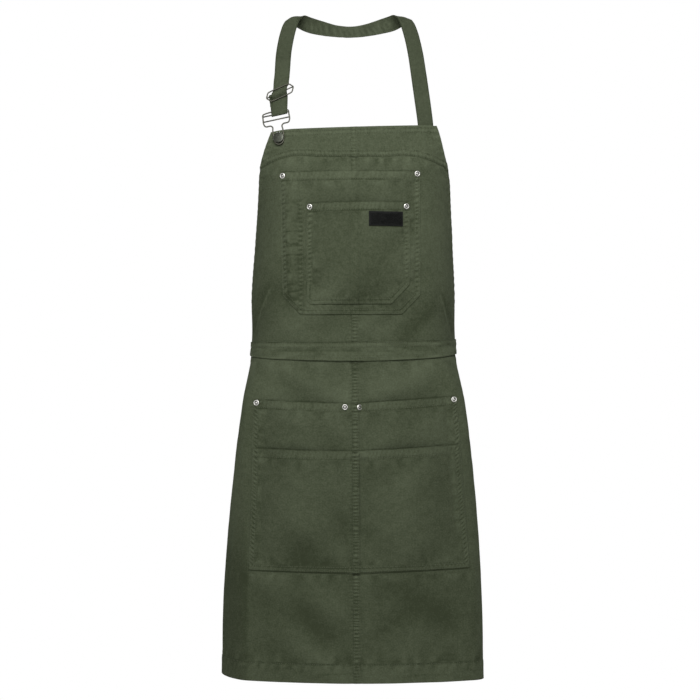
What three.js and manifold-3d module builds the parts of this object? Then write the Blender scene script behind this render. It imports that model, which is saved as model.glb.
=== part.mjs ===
// A tool apron of cotton twill in the form it takes when worn: a bib with a yoke, a waistband and a skirt
// curved round a torso, with stacked pockets, a neck strap, a wire buckle on a jeans button, and rivets.
// Millimetres, +Z up. The front faces -Y and the origin is at the nape, on the strap's inner face.
import * as THREE from "three";
import { mergeVertices } from "three/addons/utils/BufferGeometryUtils.js";
import Module from "manifold-3d";

const wasm = await Module();
wasm.setup();

// Cloth
const CLOTH = 1.2; // one layer of twill
const SEAM_GAP = 0.4; // between panels that meet edge to edge
const LIFT = 0.8; // between a panel and the layer sewn on it
const HEM_LINE = -968; // stitch line of the skirt's turned hem
const HEM_EDGE = -996; // lower edge of the skirt
const WAIST = -500; // seam between bib and skirt

// Waistband over that seam: the heights of its edges at the centre and how far they rise towards the sides,
// at halfSpan from the centre. Its lower edge stands off the skirt, and it ends at reach past the side edges.
const BAND = {
  wall: 1.6, lift: 1.2, stand: 1.4, low: -515.5, lowRiseLeft: 6.5, lowRiseRight: 10, high: -486.5,
  highRise: 1.5, tilt: 0.01, halfSpan: 175, reach: 1.5,
};

// Rounding of the worn form
const CREASE_RADIUS = 25; // bend beside the skirt's pockets
const WRAP_RADIUS = 15; // sharper bend where the right side of the skirt turns back
const WRAP_HEADING = 110; // degrees turned from facing the front at the side edges

// Horizontal sections of the worn form, a row for each height. front is the y of the centre front. From
// there the cloth follows an arc of length flat turning by turn degrees, then a crease, then a side arc that
// would be widest at half. On the right the cloth turns back at fold. edge is the length of cloth from the
// centre to the side edge.
const SECTIONS = table(
  ["z", "front", "turn", "flatLeft", "flatRight", "halfLeft", "halfRight", "creaseLeft", "creaseRight",
    "foldRight", "edgeLeft", "edgeRight"],
  [
    [-140, -132, 10, 110, 110, 182, 182, 0, 0, 300, 114, 120],
    [-165, -142, 10, 110, 110, 180, 180, 0, 0, 300, 123.5, 130.5],
    [-205, -156, 13, 105, 105, 163, 163, 0, 0, 300, 142, 145],
    [-250, -165, 16, 98, 98, 148.5, 151.5, 0, 0, 300, 162.5, 168],
    [-330, -167, 17, 100, 100, 149, 151, 0, 0, 300, 184, 184],
    [-415, -167, 17, 100, 100, 155.5, 154, 0, 0, 300, 209, 207],
    [-487, -164, 17, 100, 100, 156.2, 155, 0, 0, 300, 250, 248],
    [-520, -168, 18, 122, 124, 158, 156, 2, 2, 300, 266, 264],
    [-580, -182, 20, 160, 161, 168.3, 166.3, 6, 4, 300, 287, 285],
    [-700, -187, 22, 166, 172, 184.5, 180, 14, 8, 240, 293, 292],
    [-850, -190, 24, 168, 178, 200, 190, 22, 10, 226, 296, 297],
    [-1000, -191, 24, 169, 182, 206, 193, 28, 12, 220, 300, 305],
  ],
);

// Main folds and dents: a soft ridge, or a hollow where height is negative, along a line across the cloth
const FOLDS = table(
  ["s", "z", "toS", "toZ", "width", "height"],
  [
    [132, -523, 36, -567, 16, 2.0],
    [-134, -529, -66, -585, 15, -1.8],
    [-140, -515, -12, -572, 15, 1.6],
    [13, -748, 52, -810, 20, -2.0],
    [-15, -770, -88, -804, 20, -2.0],
    [40, -850, 138, -905, 24, -2.6],
    [-124, -862, -50, -932, 24, -2.2],
    [-178, -473, -125, -408, 15, -2.0],
    [172, -473, 138, -421, 15, -2.0],
  ],
);

// The yoke's lower seam, by distance from the centre, and the centre seam's drift to the right
const YOKE_SEAM = table(
  ["s", "z"],
  [[0, -200], [40, -197.5], [74, -195], [103, -200], [146, -215], [172, -230]],
);
const CENTRE_DRIFT = table(["z", "x"], [[-1000, 4.5], [-500, 1.5], [-160, 0]]);
const BIB_TOP = -161.7; // top edge at the centre
const BIB_TOP_RISE = 0.03; // rise of that edge towards the right
const BIB_TOP_DROP = { from: 88, to: 124, left: 3.5, right: 1.2 }; // fall of that edge at its two ends

// Pockets in cloth coordinates: s across from the centre seam and z up, with chamfers at the lower corners,
// the height of the hollow behind the panel, how much further its mouth hangs open and the margin sewn flat at
// each side
const POCKETS = {
  large: {
    leftTop: -112, leftLow: -109, rightTop: 102, rightLow: 102, low: -446, high: -230.6, tilt: 0.006,
    chamferLeft: 28, chamferRight: 29, hollow: 8, gape: 5, margin: 10, on: null,
  },
  small: {
    leftTop: -71, leftLow: -72, rightTop: 85, rightLow: 85, low: -430.5, high: -277.5, tilt: 0.015,
    chamferLeft: 7, chamferRight: 29, hollow: 7.5, gape: 0, margin: 10, on: "large",
  },
  backLeft: {
    leftTop: -154.5, leftLow: -165, rightTop: -0.2, rightLow: -0.2, low: -833, high: -579.2, tilt: -0.036,
    chamferLeft: 0, chamferRight: 0, hollow: 9, gape: 5, margin: 19, on: null,
  },
  backRight: {
    leftTop: 0.2, leftLow: 0.2, rightTop: 157.5, rightLow: 178, low: -833, high: -578.8, tilt: 0.066,
    chamferLeft: 0, chamferRight: 0, hollow: 9, gape: 5, margin: 19, on: null,
  },
  frontLeft: {
    leftTop: -155.5, leftLow: -164.5, rightTop: -0.2, rightLow: -0.2, low: -831, high: -649.5, tilt: -0.02,
    chamferLeft: 0, chamferRight: 0, hollow: 8, gape: 0, margin: 16, on: "backLeft",
  },
  frontRight: {
    leftTop: 0.2, leftLow: 0.2, rightTop: 160.2, rightLow: 177, low: -831, high: -649.6, tilt: 0.056,
    chamferLeft: 0, chamferRight: 0, hollow: 8, gape: 0, margin: 16, on: "backRight",
  },
};
const LOW_TILT_SHARE = 0.5; // a pocket's lower edge slants by this share of its mouth's tilt
const PEN_SLOT = -80; // stitch line that divides the large bib pocket
const PEN_HOLLOW = 5;
const PEN_MARGIN = 3;
const PEN_SLOT_TOP = -272; // the stitch line starts below the mouth
const FULL_BELLY = 0.4; // share of a pocket's height at which it reaches its full hollow
const GAPE_START = 0.55; // share of a pocket's height above which its mouth hangs open

// Hook-and-loop patch on the small pocket
const PATCH = { left: 22, right: 73.6, low: -313.3, high: -291.6, wall: 1.6 };

// Rivets: where they sit and the layers that they join
const RIVET_RADIUS = 4.5;
const RIVET_HEIGHT = 1.7;
const RIVET_SHANK = 1.5;
const RIVET_GAP = 0.5; // under the head
const BURR_RADIUS = 3.4; // plain end at the back
const BURR_WALL = 0.8;
const BURR_GAP = 1.7; // before the plain end
const HOLE_CLEARANCE = 0.4;
const HOLE_REACH = 12; // half the length of the pin that cuts a hole
const RIVETS = [
  {
    name: "rivet_large_pocket_left", s: -106.8, z: -236.7, outer: "large",
    layers: ["bib_pocket_large", "bib_left"],
  },
  {
    name: "rivet_large_pocket_right", s: 97, z: -233.6, outer: "large",
    layers: ["bib_pocket_large", "bib_right"],
  },
  {
    name: "rivet_small_pocket_left", s: -65.6, z: -284, outer: "small",
    layers: ["bib_pocket_small", "bib_pocket_large", "bib_left"],
  },
  {
    name: "rivet_small_pocket_right", s: 79.5, z: -283.2, outer: "small",
    layers: ["bib_pocket_small", "bib_pocket_large", "bib_right"],
  },
  {
    name: "rivet_skirt_left_outer", s: -149.3, z: -578.4, outer: "backLeft",
    layers: ["skirt_pocket_back_left", "skirt_left"],
  },
  {
    name: "rivet_skirt_left_inner", s: -13.9, z: -584.2, outer: "backLeft",
    layers: ["skirt_pocket_back_left", "skirt_left"],
  },
  {
    name: "rivet_skirt_right_inner", s: 7.4, z: -584.5, outer: "backRight",
    layers: ["skirt_pocket_back_right", "skirt_right"],
  },
  {
    name: "rivet_skirt_right_outer", s: 152.2, z: -573.3, outer: "backRight",
    layers: ["skirt_pocket_back_right", "skirt_right"],
  },
];

// Faces of a rivet and of the button, from the underside of the head to its middle: the share of the radius
// and the depth below the highest point
const RIVET_FACE = table(["share", "depth"], [[1, 1.7], [1, 1], [0.7, 0], [0.4, 0.7], [0, 0.2]]);
const BUTTON_FACE = table(
  ["share", "depth"],
  [[0.96, 2.6], [1, 1.8], [0.88, 0.6], [0.69, 1], [0.62, 0.5], [0, 0]],
);

// Button, buckle and slider lie in a plane that touches the bib at the button. r runs to the right in that
// plane, u up it and n out of it. p and q are a wire's own axes, turned from r and u by its tilt.
const BUTTON = { s: -112, z: -179.6, radius: 8.4, shank: 3.5, pin: 1.2, top: 8, tack: 4.5, tackWall: 1 };
const BUCKLE = { wire: 1.1, tilt: 11.4, plane: 3.4, halfWidth: 20.4, strapBar: 38.7, crossBar: 30.2 };
const BUCKLE_OUTLINE = table(
  ["p", "q"],
  [
    [17.5, 42.8], [20, 41.1], [20.4, 35], [20.4, 27], [17.8, 22.3], [10.2, 21.6], [7.4, 19], [7.9, 13],
    [7.7, 5], [7.1, -2], [5, -7.6],
  ],
);
const BUCKLE_FOOT = -10.3; // lowest point of the wire loop below the button's centre
const SLIDER = { wire: 1, tilt: 24, r: -2.4, u: 71.8, plane: 7.1, halfLength: 22 };
const SLIDER_CORNER = table(["p", "q"], [[0, 7.8], [13, 7.8], [17.2, 7], [20, 3.6]]);
const BAR_SHARE = 0.95; // a cross bar is a little thinner than the wire of the outline

// Neck strap
const STRAP_WIDTH = 24;
const STRAP_WALL = 1.2;
const STRAP_SEWN = { s: 111, low: -196, high: -160 }; // where its right end is sewn behind the bib

// The strap from the right shoulder round the nape to the left: middle of its width and the way its outer
// face looks
const STRAP_ROUTE = table(
  ["x", "y", "z", "outX", "outY", "outZ"],
  [
    [104.5, -115, -112, 0.06, -0.92, 0.38],
    [99.5, -98, -72, 0.08, -0.88, 0.46],
    [95, -78, -38, 0.12, -0.78, 0.6],
    [89, -57, -9, 0.12, -0.66, 0.74],
    [83.6, -43, 8.4, 0.14, -0.45, 0.88],
    [78.4, -29, 18, 0.12, -0.02, 0.98],
    [71.5, -15, 16.3, 0.36, 0.6, 0.72],
    [61, -6.5, 12.3, 0.3, 0.92, 0.25],
    [46, -2.5, 8.3, 0.2, 0.96, -0.18],
    [22, -0.2, 2.4, 0.1, 0.86, -0.5],
    [0, 0.5, -0.4, 0, 0.8, -0.6],
    [-26, 0.2, 1, -0.08, 0.84, -0.54],
    [-52, -2, 6, -0.2, 0.96, -0.18],
    [-70, -6, 10.5, -0.3, 0.92, 0.25],
    [-83, -14, 15.6, -0.36, 0.6, 0.72],
    [-91.5, -28, 18, -0.12, -0.02, 0.98],
    [-96, -42, 8, -0.14, -0.45, 0.88],
    [-101.3, -56, -11, -0.12, -0.66, 0.74],
    [-106, -76, -40, -0.14, -0.8, 0.58],
  ],
);

// The strap's left end in the plane of the buckle: behind the slider's outer bars and over its middle bar,
// round the buckle's bar, and back up to a sewn loop on the slider's middle bar. tilt is the slant of the
// cloth's cross threads, and u is the height at which such a thread crosses r = STRAP_MIDDLE.
const STRAP_MIDDLE = -2.6;
const STRAP_LOOP = table(
  ["r", "u", "n", "tilt"],
  [
    [-1.7, 102.3, 4.6, 4],
    [-2.1, 89.3, 4.6, 14],
    [-2.1, 80.3, 4.7, 24],
    [-2.4, 77.9, 6.4, 24],
    [-2.6, 74.9, 9.6, 24],
    [-2.6, 71.8, 11, 24],
    [-2.6, 68.7, 9.6, 24],
    [-2.6, 65.7, 6.4, 24],
    [-2.3, 63.3, 4.7, 24],
    [-1.7, 54.3, 5.3, 16],
    [-1.3, 45.3, 5.7, 11.4],
    [-1.2, 39.1, 5.6, 11.4],
    [-1.3, 37.5, 4.9, 11.4],
    [-1.6, 36.8, 3.4, 11.4],
    [-2, 37.5, 1.9, 11.4],
    [-2.6, 39.1, 1.2, 11.4],
    [-4.2, 46.3, 1.1, 11.4],
    [-5.6, 56.3, 1.8, 16],
    [-6.6, 61.8, 2.7, 24],
    [-7.1, 65.5, 3.6, 24],
    [-7.1, 68.1, 5.6, 24],
    [-7.1, 69.6, 7.4, 24],
    [-7.1, 70.5, 8.75, 24],
    [-7.1, 71.8, 9.25, 24],
    [-7.1, 73.1, 8.75, 24],
    [-7.1, 74.1, 7.1, 24],
    [-7.1, 73.4, 5.4, 24],
    [-7.1, 71.6, 4.2, 24],
    [-7.1, 68.8, 3, 24],
    [-7.1, 65.5, 1.4, 24],
    [-6.8, 60.8, 0.4, 20],
    [-6.4, 55.8, -0.4, 16],
  ],
);

// Looks
const OLIVE = 0x4b523f;
const BLACK = 0x1c1e1c;
const MATERIALS = {
  twill: new THREE.MeshStandardMaterial({ color: OLIVE, roughness: 0.95, metalness: 0 }),
  webbing: new THREE.MeshStandardMaterial({ color: OLIVE, roughness: 0.9, metalness: 0 }),
  hookAndLoop: new THREE.MeshStandardMaterial({ color: BLACK, roughness: 1, metalness: 0 }),
  nickel: new THREE.MeshStandardMaterial({ color: 0xb9bbb6, roughness: 0.3, metalness: 1 }),
  gunmetal: new THREE.MeshStandardMaterial({ color: 0x2b2c2a, roughness: 0.4, metalness: 1 }),
};

function table(columns, rows) {
  return rows.map((row) => Object.fromEntries(columns.map((name, index) => [name, row[index]])));
}

function mix(from, to, share) {
  return from + (to - from) * share;
}

function radians(degrees) {
  return (degrees * Math.PI) / 180;
}

function share(value, from, to) {
  return Math.min(Math.max((value - from) / (to - from), 0), 1);
}

// Smooth curve through a table's rows, which rise or fall along the key column
function smooth(rows, key, name, at) {
  const ordered = rows[0][key] < rows[rows.length - 1][key] ? rows : [...rows].reverse();
  const last = ordered.length - 1;
  const value = Math.min(Math.max(at, ordered[0][key]), ordered[last][key]);
  let index = 0;
  while (index < last - 1 && value > ordered[index + 1][key]) index += 1;
  const slope = (row) => {
    const before = ordered[Math.max(row - 1, 0)];
    const after = ordered[Math.min(row + 1, last)];
    return (after[name] - before[name]) / (after[key] - before[key]);
  };
  const from = ordered[index];
  const to = ordered[index + 1];
  const span = to[key] - from[key];
  const t = (value - from[key]) / span;
  const ease = t * t * (3 - 2 * t);
  const pull = t * (1 - t) * span;
  return mix(from[name], to[name], ease) + pull * ((1 - t) * slope(index) - t * slope(index + 1));
}

// Arcs of the section at a height, from the centre front to one side
function arcsAt(z, side) {
  const name = side < 0 ? "Left" : "Right";
  const turn = radians(smooth(SECTIONS, "z", "turn", z));
  const flat = smooth(SECTIONS, "z", "flat" + name, z);
  const crease = radians(smooth(SECTIONS, "z", "crease" + name, z));
  const half = smooth(SECTIONS, "z", "half" + name, z);
  const fold = side < 0 ? Infinity : smooth(SECTIONS, "z", "foldRight", z);
  const heading = turn + crease;
  const across = (flat / turn) * Math.sin(turn) + CREASE_RADIUS * (Math.sin(heading) - Math.sin(turn));
  const sideRadius = (half - across) / (1 - Math.sin(heading));
  const creaseLength = CREASE_RADIUS * crease;
  const longest = SECTIONS[SECTIONS.length - 1].edgeLeft;
  const unwrapped = sideRadius * (radians(WRAP_HEADING) - heading);
  const sideLength = Math.min(fold - flat - creaseLength, unwrapped);
  const wrap = Math.max(radians(WRAP_HEADING) - heading - sideLength / sideRadius, 0);
  return [
    { length: flat, turn },
    { length: creaseLength, turn: crease },
    { length: sideLength, turn: sideLength / sideRadius },
    { length: WRAP_RADIUS * wrap, turn: wrap },
    { length: longest, turn: 0 },
  ];
}

function walk(distance, arcs) {
  const at = { x: 0, y: 0, heading: 0 };
  let remaining = distance;
  for (const arc of arcs) {
    const step = Math.min(remaining, arc.length);
    const bend = arc.length > 0 ? (arc.turn * step) / arc.length : 0;
    const chord = bend === 0 ? step : (2 * step * Math.sin(bend / 2)) / bend;
    at.x += chord * Math.cos(at.heading + bend / 2);
    at.y += chord * Math.sin(at.heading + bend / 2);
    at.heading += bend;
    remaining -= step;
  }
  return at;
}

function foldHeight(s, z) {
  let height = 0;
  for (const fold of FOLDS) {
    const runS = fold.toS - fold.s;
    const runZ = fold.toZ - fold.z;
    const length = Math.hypot(runS, runZ);
    const along = ((s - fold.s) * runS + (z - fold.z) * runZ) / length;
    const across = ((s - fold.s) * runZ - (z - fold.z) * runS) / length;
    const past = Math.max(-along, along - length, 0);
    height += fold.height * Math.exp(-(across * across + past * past) / (fold.width * fold.width));
  }
  return height;
}

// A point of the worn form: s along the cloth from the centre seam, z up, lift outwards
function clothPoint(s, z, lift) {
  const side = s < 0 ? -1 : 1;
  const at = walk(Math.abs(s), arcsAt(z, side));
  const out = lift + foldHeight(s, z);
  const x = side * (at.x + out * Math.sin(at.heading)) + smooth(CENTRE_DRIFT, "z", "x", z);
  const y = smooth(SECTIONS, "z", "front", z) + at.y - out * Math.cos(at.heading);
  return new THREE.Vector3(x, y, z);
}

// Axes on a lifted layer: right along the cloth, up it, and out of it
function clothFrame(s, z, lift) {
  const step = 1;
  const at = (across, along) => clothPoint(s + across, z + along, lift(s + across, z + along));
  const right = at(step, 0).sub(at(-step, 0)).normalize();
  const above = at(0, step).sub(at(0, -step));
  const out = new THREE.Vector3().crossVectors(right, above).normalize();
  const up = new THREE.Vector3().crossVectors(out, right);
  return { origin: at(0, 0), right, up, out };
}

function edgeLeft(z) {
  return -smooth(SECTIONS, "z", "edgeLeft", z);
}

function edgeRight(z) {
  return smooth(SECTIONS, "z", "edgeRight", z);
}

function yokeSeam(s) {
  return smooth(YOKE_SEAM, "s", "z", Math.abs(s));
}

function bibTop(s) {
  const drop = s < 0 ? BIB_TOP_DROP.left : BIB_TOP_DROP.right;
  const past = share(Math.abs(s), BIB_TOP_DROP.from, BIB_TOP_DROP.to);
  return BIB_TOP + BIB_TOP_RISE * s - drop * past * past;
}

// Pocket outlines and hollows
function pocketLow(pocket, s) {
  return pocket.low + pocket.tilt * s * LOW_TILT_SHARE;
}

function pocketHigh(pocket, s) {
  return pocket.high + pocket.tilt * s;
}

function pocketEdges(pocket, z) {
  const rise = share(z, pocket.low, pocket.high);
  const cut = (chamfer) => chamfer * (1 - share(z, pocket.low, pocket.low + chamfer + SEAM_GAP));
  return {
    left: mix(pocket.leftLow, pocket.leftTop, rise) + cut(pocket.chamferLeft),
    right: mix(pocket.rightLow, pocket.rightTop, rise) - cut(pocket.chamferRight),
  };
}

// Swell of a hollow between two sewn margins
function belly(s, from, to, margin) {
  return Math.sin(Math.PI * share(s, from + margin, to - margin));
}

function pocketHollow(pocket, s, z) {
  const edges = pocketEdges(pocket, z);
  const rise = share(z, pocketLow(pocket, s), pocketHigh(pocket, s));
  const full = Math.sin((Math.PI / 2) * Math.min(rise / FULL_BELLY, 1));
  const depth = pocket.hollow * full + pocket.gape * share(rise, GAPE_START, 1) ** 2;
  const whole = depth * belly(s, edges.left, edges.right, pocket.margin);
  if (pocket !== POCKETS.large) return whole;
  const main = depth * belly(s, PEN_SLOT, edges.right, pocket.margin);
  const divided = main + PEN_HOLLOW * full * belly(s, edges.left, PEN_SLOT, PEN_MARGIN);
  return mix(divided, whole, share(z, PEN_SLOT_TOP, pocket.high));
}

function pocketInner(pocket, s, z) {
  const under = pocket.on ? pocketInner(POCKETS[pocket.on], s, z) + CLOTH : CLOTH;
  return under + LIFT + pocketHollow(pocket, s, z);
}

// Closed solid between two lifts of the worn form, over a lattice of columns and rows
function panel({ left, right, low, high, inner, outer, columns, rows }) {
  const across = columns.length;
  const positions = [];
  const index = [];
  for (const lift of [outer, inner]) {
    for (const rowShare of rows) {
      for (const columnShare of columns) {
        const level = mix(low(0), high(0), rowShare);
        const s = mix(left(level), right(level), columnShare);
        const z = mix(low(s), high(s), rowShare);
        positions.push(...clothPoint(s, z, lift(s, z)));
      }
    }
  }
  const count = across * rows.length;
  const quad = (a, b, c, d) => index.push(a, b, c, a, c, d);
  for (let row = 0; row < rows.length - 1; row += 1) {
    for (let column = 0; column < across - 1; column += 1) {
      const a = row * across + column;
      quad(a, a + 1, a + across + 1, a + across);
      quad(count + a, count + a + across, count + a + across + 1, count + a + 1);
    }
  }
  const rim = [];
  for (let column = 0; column < across; column += 1) rim.push(column);
  for (let row = 1; row < rows.length; row += 1) rim.push(row * across + across - 1);
  for (let column = across - 2; column >= 0; column -= 1) rim.push((rows.length - 1) * across + column);
  for (let row = rows.length - 2; row > 0; row -= 1) rim.push(row * across);
  rim.forEach((a, place) => {
    const b = rim[(place + 1) % rim.length];
    quad(a, count + a, count + b, b);
  });
  return indexed(positions, index);
}

function indexed(positions, index) {
  const geometry = new THREE.BufferGeometry();
  geometry.setAttribute("position", new THREE.Float32BufferAttribute(positions, 3));
  geometry.setIndex(index);
  return geometry;
}

function even(count) {
  return Array.from({ length: count + 1 }, (_, step) => step / count);
}

// Solid swept along frames: each has a centre and two axes, and the section is a ring of pairs along them
function sweep(frames, section, closed) {
  const around = section.length;
  const positions = [];
  const index = [];
  for (const frame of frames) {
    for (const [first, second] of section) {
      const point = frame.centre.clone().addScaledVector(frame.first, first);
      positions.push(...point.addScaledVector(frame.second, second));
    }
  }
  const steps = closed ? frames.length : frames.length - 1;
  for (let step = 0; step < steps; step += 1) {
    const from = step * around;
    const to = ((step + 1) % frames.length) * around;
    for (let corner = 0; corner < around; corner += 1) {
      const next = (corner + 1) % around;
      index.push(from + corner, from + next, to + next, from + corner, to + next, to + corner);
    }
  }
  if (!closed) {
    const end = (frames.length - 1) * around;
    for (let corner = 1; corner < around - 1; corner += 1) {
      index.push(0, corner + 1, corner);
      index.push(end, end + corner, end + corner + 1);
    }
  }
  return indexed(positions, index);
}

function roundSection(radius, sides) {
  return even(sides).slice(0, sides).map((turn) => {
    const angle = 2 * Math.PI * turn;
    return [radius * Math.cos(angle), radius * Math.sin(angle)];
  });
}

// Frames along a planar curve: the second axis is the plane's normal
function planarFrames(curve, normal, steps, closed) {
  const shares = closed ? even(steps).slice(0, steps) : even(steps);
  return shares.map((turn) => {
    const tangent = curve.getTangentAt(turn);
    const first = new THREE.Vector3().crossVectors(normal, tangent).normalize();
    return { centre: curve.getPointAt(turn), first, second: normal };
  });
}

function wireBar(from, to, normal, radius, sides) {
  const frames = planarFrames(new THREE.LineCurve3(from, to), normal, 1, false);
  return sweep(frames, roundSection(radius, sides), false);
}

// Joins and cuts
function toSolid(geometry) {
  const bare = geometry.clone();
  bare.deleteAttribute("normal");
  bare.deleteAttribute("uv");
  const merged = mergeVertices(bare);
  const vertProperties = new Float32Array(merged.attributes.position.array);
  const triVerts = new Uint32Array(merged.index.array);
  return new wasm.Manifold(new wasm.Mesh({ numProp: 3, vertProperties, triVerts }));
}

function fromSolid(solid) {
  const mesh = solid.getMesh();
  return indexed(Array.from(mesh.vertProperties), Array.from(mesh.triVerts));
}

// A solid of revolution about the frame's out axis, from [radius, height] pairs
function turned(profile, frame, sides) {
  const points = profile.map(([radius, height]) => new THREE.Vector2(radius, height));
  const back = frame.right.clone().negate();
  const basis = new THREE.Matrix4().makeBasis(back, frame.out, frame.up).setPosition(frame.origin);
  return new THREE.LatheGeometry(points, sides).applyMatrix4(basis);
}

// Pieces, by node name
const pieces = new Map();

function keep(name, geometry, material) {
  pieces.set(name, { geometry, material });
}

const flush = () => 0;
const single = () => CLOTH;
const BIB_ROWS = [0, 0.04, 0.09, 0.16, 0.25, 0.35, 0.45, 0.55, 0.65, 0.75, 0.84, 0.92, 1];
const leftOfCentre = () => -SEAM_GAP / 2;
const rightOfCentre = () => SEAM_GAP / 2;

function makeBib() {
  const halves = [
    { name: "left", left: edgeLeft, right: leftOfCentre },
    { name: "right", left: rightOfCentre, right: edgeRight },
  ];
  for (const half of halves) {
    const sides = { left: half.left, right: half.right, inner: flush, outer: single };
    const yoke = panel({
      ...sides, low: (s) => yokeSeam(s) + SEAM_GAP / 2, high: bibTop, columns: even(9), rows: even(5),
    });
    const bib = panel({
      ...sides, low: () => WAIST + SEAM_GAP / 2, high: (s) => yokeSeam(s) - SEAM_GAP / 2, columns: even(11),
      rows: BIB_ROWS,
    });
    keep("yoke_" + half.name, yoke, MATERIALS.twill);
    keep("bib_" + half.name, bib, MATERIALS.twill);
  }
}

// Columns of a skirt half from the centre to the side edge, closer together where it bends
const SKIRT_COLUMNS = [0, 0.1, 0.2, 0.3, 0.4, 0.5, 0.57, 0.61, 0.645, 0.68, 0.73, 0.81, 0.9, 1];
const SKIRT_ROWS = 13;
const UNDER_BAND = 0.985; // share of the skirt's height at a row close under the waist seam

function makeSkirt() {
  const height = WAIST - HEM_EDGE;
  const hem = (HEM_LINE - HEM_EDGE) / height;
  const step = CLOTH / height;
  const upper = even(SKIRT_ROWS).map((rise) => mix(hem + step, 1, rise));
  const shape = {
    low: () => HEM_EDGE,
    high: () => WAIST - SEAM_GAP / 2,
    inner: (s, z) => (z < HEM_LINE + CLOTH / 2 ? -CLOTH : 0),
    outer: single,
    rows: [0, hem / 2, hem, ...upper.slice(0, -1), UNDER_BAND, 1],
  };
  const mirrored = SKIRT_COLUMNS.map((part) => 1 - part).reverse();
  const left = panel({ ...shape, left: edgeLeft, right: leftOfCentre, columns: mirrored });
  const right = panel({ ...shape, left: rightOfCentre, right: edgeRight, columns: SKIRT_COLUMNS });
  keep("skirt_left", left, MATERIALS.twill);
  keep("skirt_right", right, MATERIALS.twill);
}

function makeWaistband() {
  const low = (s) => {
    const rise = s < 0 ? BAND.lowRiseLeft : BAND.lowRiseRight;
    return BAND.low + rise * Math.min(s / BAND.halfSpan, 1) ** 2;
  };
  const high = (s) => BAND.high + BAND.tilt * s + BAND.highRise * (s / BAND.halfSpan) ** 2;
  const inner = (s, z) => CLOTH + BAND.lift + BAND.stand * (1 - share(z, low(s), WAIST));
  const band = panel({
    left: () => edgeLeft(WAIST) - BAND.reach, right: () => edgeRight(WAIST) + BAND.reach, low, high, inner,
    outer: (s, z) => inner(s, z) + BAND.wall, columns: even(28), rows: even(2),
  });
  keep("waistband", band, MATERIALS.twill);
}

function makePocket(name, key, columns, rows) {
  const pocket = POCKETS[key];
  const inner = (s, z) => pocketInner(pocket, s, z);
  const shape = panel({
    left: (z) => pocketEdges(pocket, z).left, right: (z) => pocketEdges(pocket, z).right,
    low: (s) => pocketLow(pocket, s), high: (s) => pocketHigh(pocket, s),
    inner, outer: (s, z) => inner(s, z) + CLOTH, columns, rows: even(rows),
  });
  keep(name, shape, MATERIALS.twill);
}

// Columns of a pocket: its edges, and even steps between its sewn margins
function marginColumns(pocket, from, steps) {
  const margin = pocket.margin / (pocket.rightTop - pocket.leftTop);
  return [...even(steps).map((part) => mix(from, 1 - margin, part)), 1];
}

function makePockets() {
  const slot = share(PEN_SLOT, POCKETS.large.leftTop, POCKETS.large.rightTop);
  const penColumns = even(4).slice(0, -1).map((part) => part * slot);
  makePocket("bib_pocket_large", "large", [...penColumns, ...marginColumns(POCKETS.large, slot, 8)], 15);
  const others = [
    { name: "bib_pocket_small", key: "small", columns: 9, rows: 11 },
    { name: "skirt_pocket_back_left", key: "backLeft", columns: 8, rows: 13 },
    { name: "skirt_pocket_back_right", key: "backRight", columns: 8, rows: 13 },
    { name: "skirt_pocket_front_left", key: "frontLeft", columns: 8, rows: 10 },
    { name: "skirt_pocket_front_right", key: "frontRight", columns: 8, rows: 10 },
  ];
  for (const { name, key, columns, rows } of others) {
    const pocket = POCKETS[key];
    const margin = pocket.margin / (pocket.rightTop - pocket.leftTop);
    makePocket(name, key, [0, ...marginColumns(pocket, margin, columns)], rows);
  }
}

// The patch's back follows the pocket and its front is flat
function makePatch() {
  const under = (s, z) => pocketInner(POCKETS.small, s, z) + CLOTH + LIFT;
  const centre = clothFrame((PATCH.left + PATCH.right) / 2, (PATCH.low + PATCH.high) / 2, under);
  const face = centre.origin.clone().addScaledVector(centre.out, PATCH.wall);
  const reachFace = (s, z) => {
    const base = clothPoint(s, z, 0);
    const away = clothPoint(s, z, 1).sub(base);
    return face.clone().sub(base).dot(centre.out) / away.dot(centre.out);
  };
  const patch = panel({
    left: () => PATCH.left, right: () => PATCH.right, low: () => PATCH.low, high: () => PATCH.high,
    inner: under, outer: reachFace, columns: even(6), rows: even(2),
  });
  keep("loop_patch", patch, MATERIALS.hookAndLoop);
}

const hardware = clothFrame(BUTTON.s, BUTTON.z, flush);

function hardwarePoint(r, u, n) {
  return hardware.origin.clone().addScaledVector(hardware.right, r).addScaledVector(hardware.up, u)
    .addScaledVector(hardware.out, n);
}

// A point on a piece turned by tilt degrees about (r, u) in the hardware plane
function tiltedPoint(piece, p, q, r, u) {
  const cos = Math.cos(radians(piece.tilt));
  const sin = Math.sin(radians(piece.tilt));
  return hardwarePoint(r + p * cos - q * sin, u + p * sin + q * cos, piece.plane);
}

function closedWire(points, radius, steps, sides) {
  const curve = new THREE.CatmullRomCurve3(points, true, "centripetal");
  return toSolid(sweep(planarFrames(curve, hardware.out, steps, true), roundSection(radius, sides), true));
}

function makeBuckle() {
  const place = (p, q) => tiltedPoint(BUCKLE, p, q, 0, 0);
  const rightHalf = BUCKLE_OUTLINE.map((row) => place(row.p, row.q));
  const leftHalf = [...BUCKLE_OUTLINE].reverse().map((row) => place(-row.p, row.q));
  let buckle = closedWire([...rightHalf, place(0, BUCKLE_FOOT), ...leftHalf], BUCKLE.wire, 72, 6);
  for (const height of [BUCKLE.strapBar, BUCKLE.crossBar]) {
    const from = place(-BUCKLE.halfWidth, height);
    const to = place(BUCKLE.halfWidth, height);
    buckle = buckle.add(toSolid(wireBar(from, to, hardware.out, BUCKLE.wire * BAR_SHARE, 8)));
  }
  keep("bib_buckle", fromSolid(buckle), MATERIALS.nickel);
}

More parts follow.
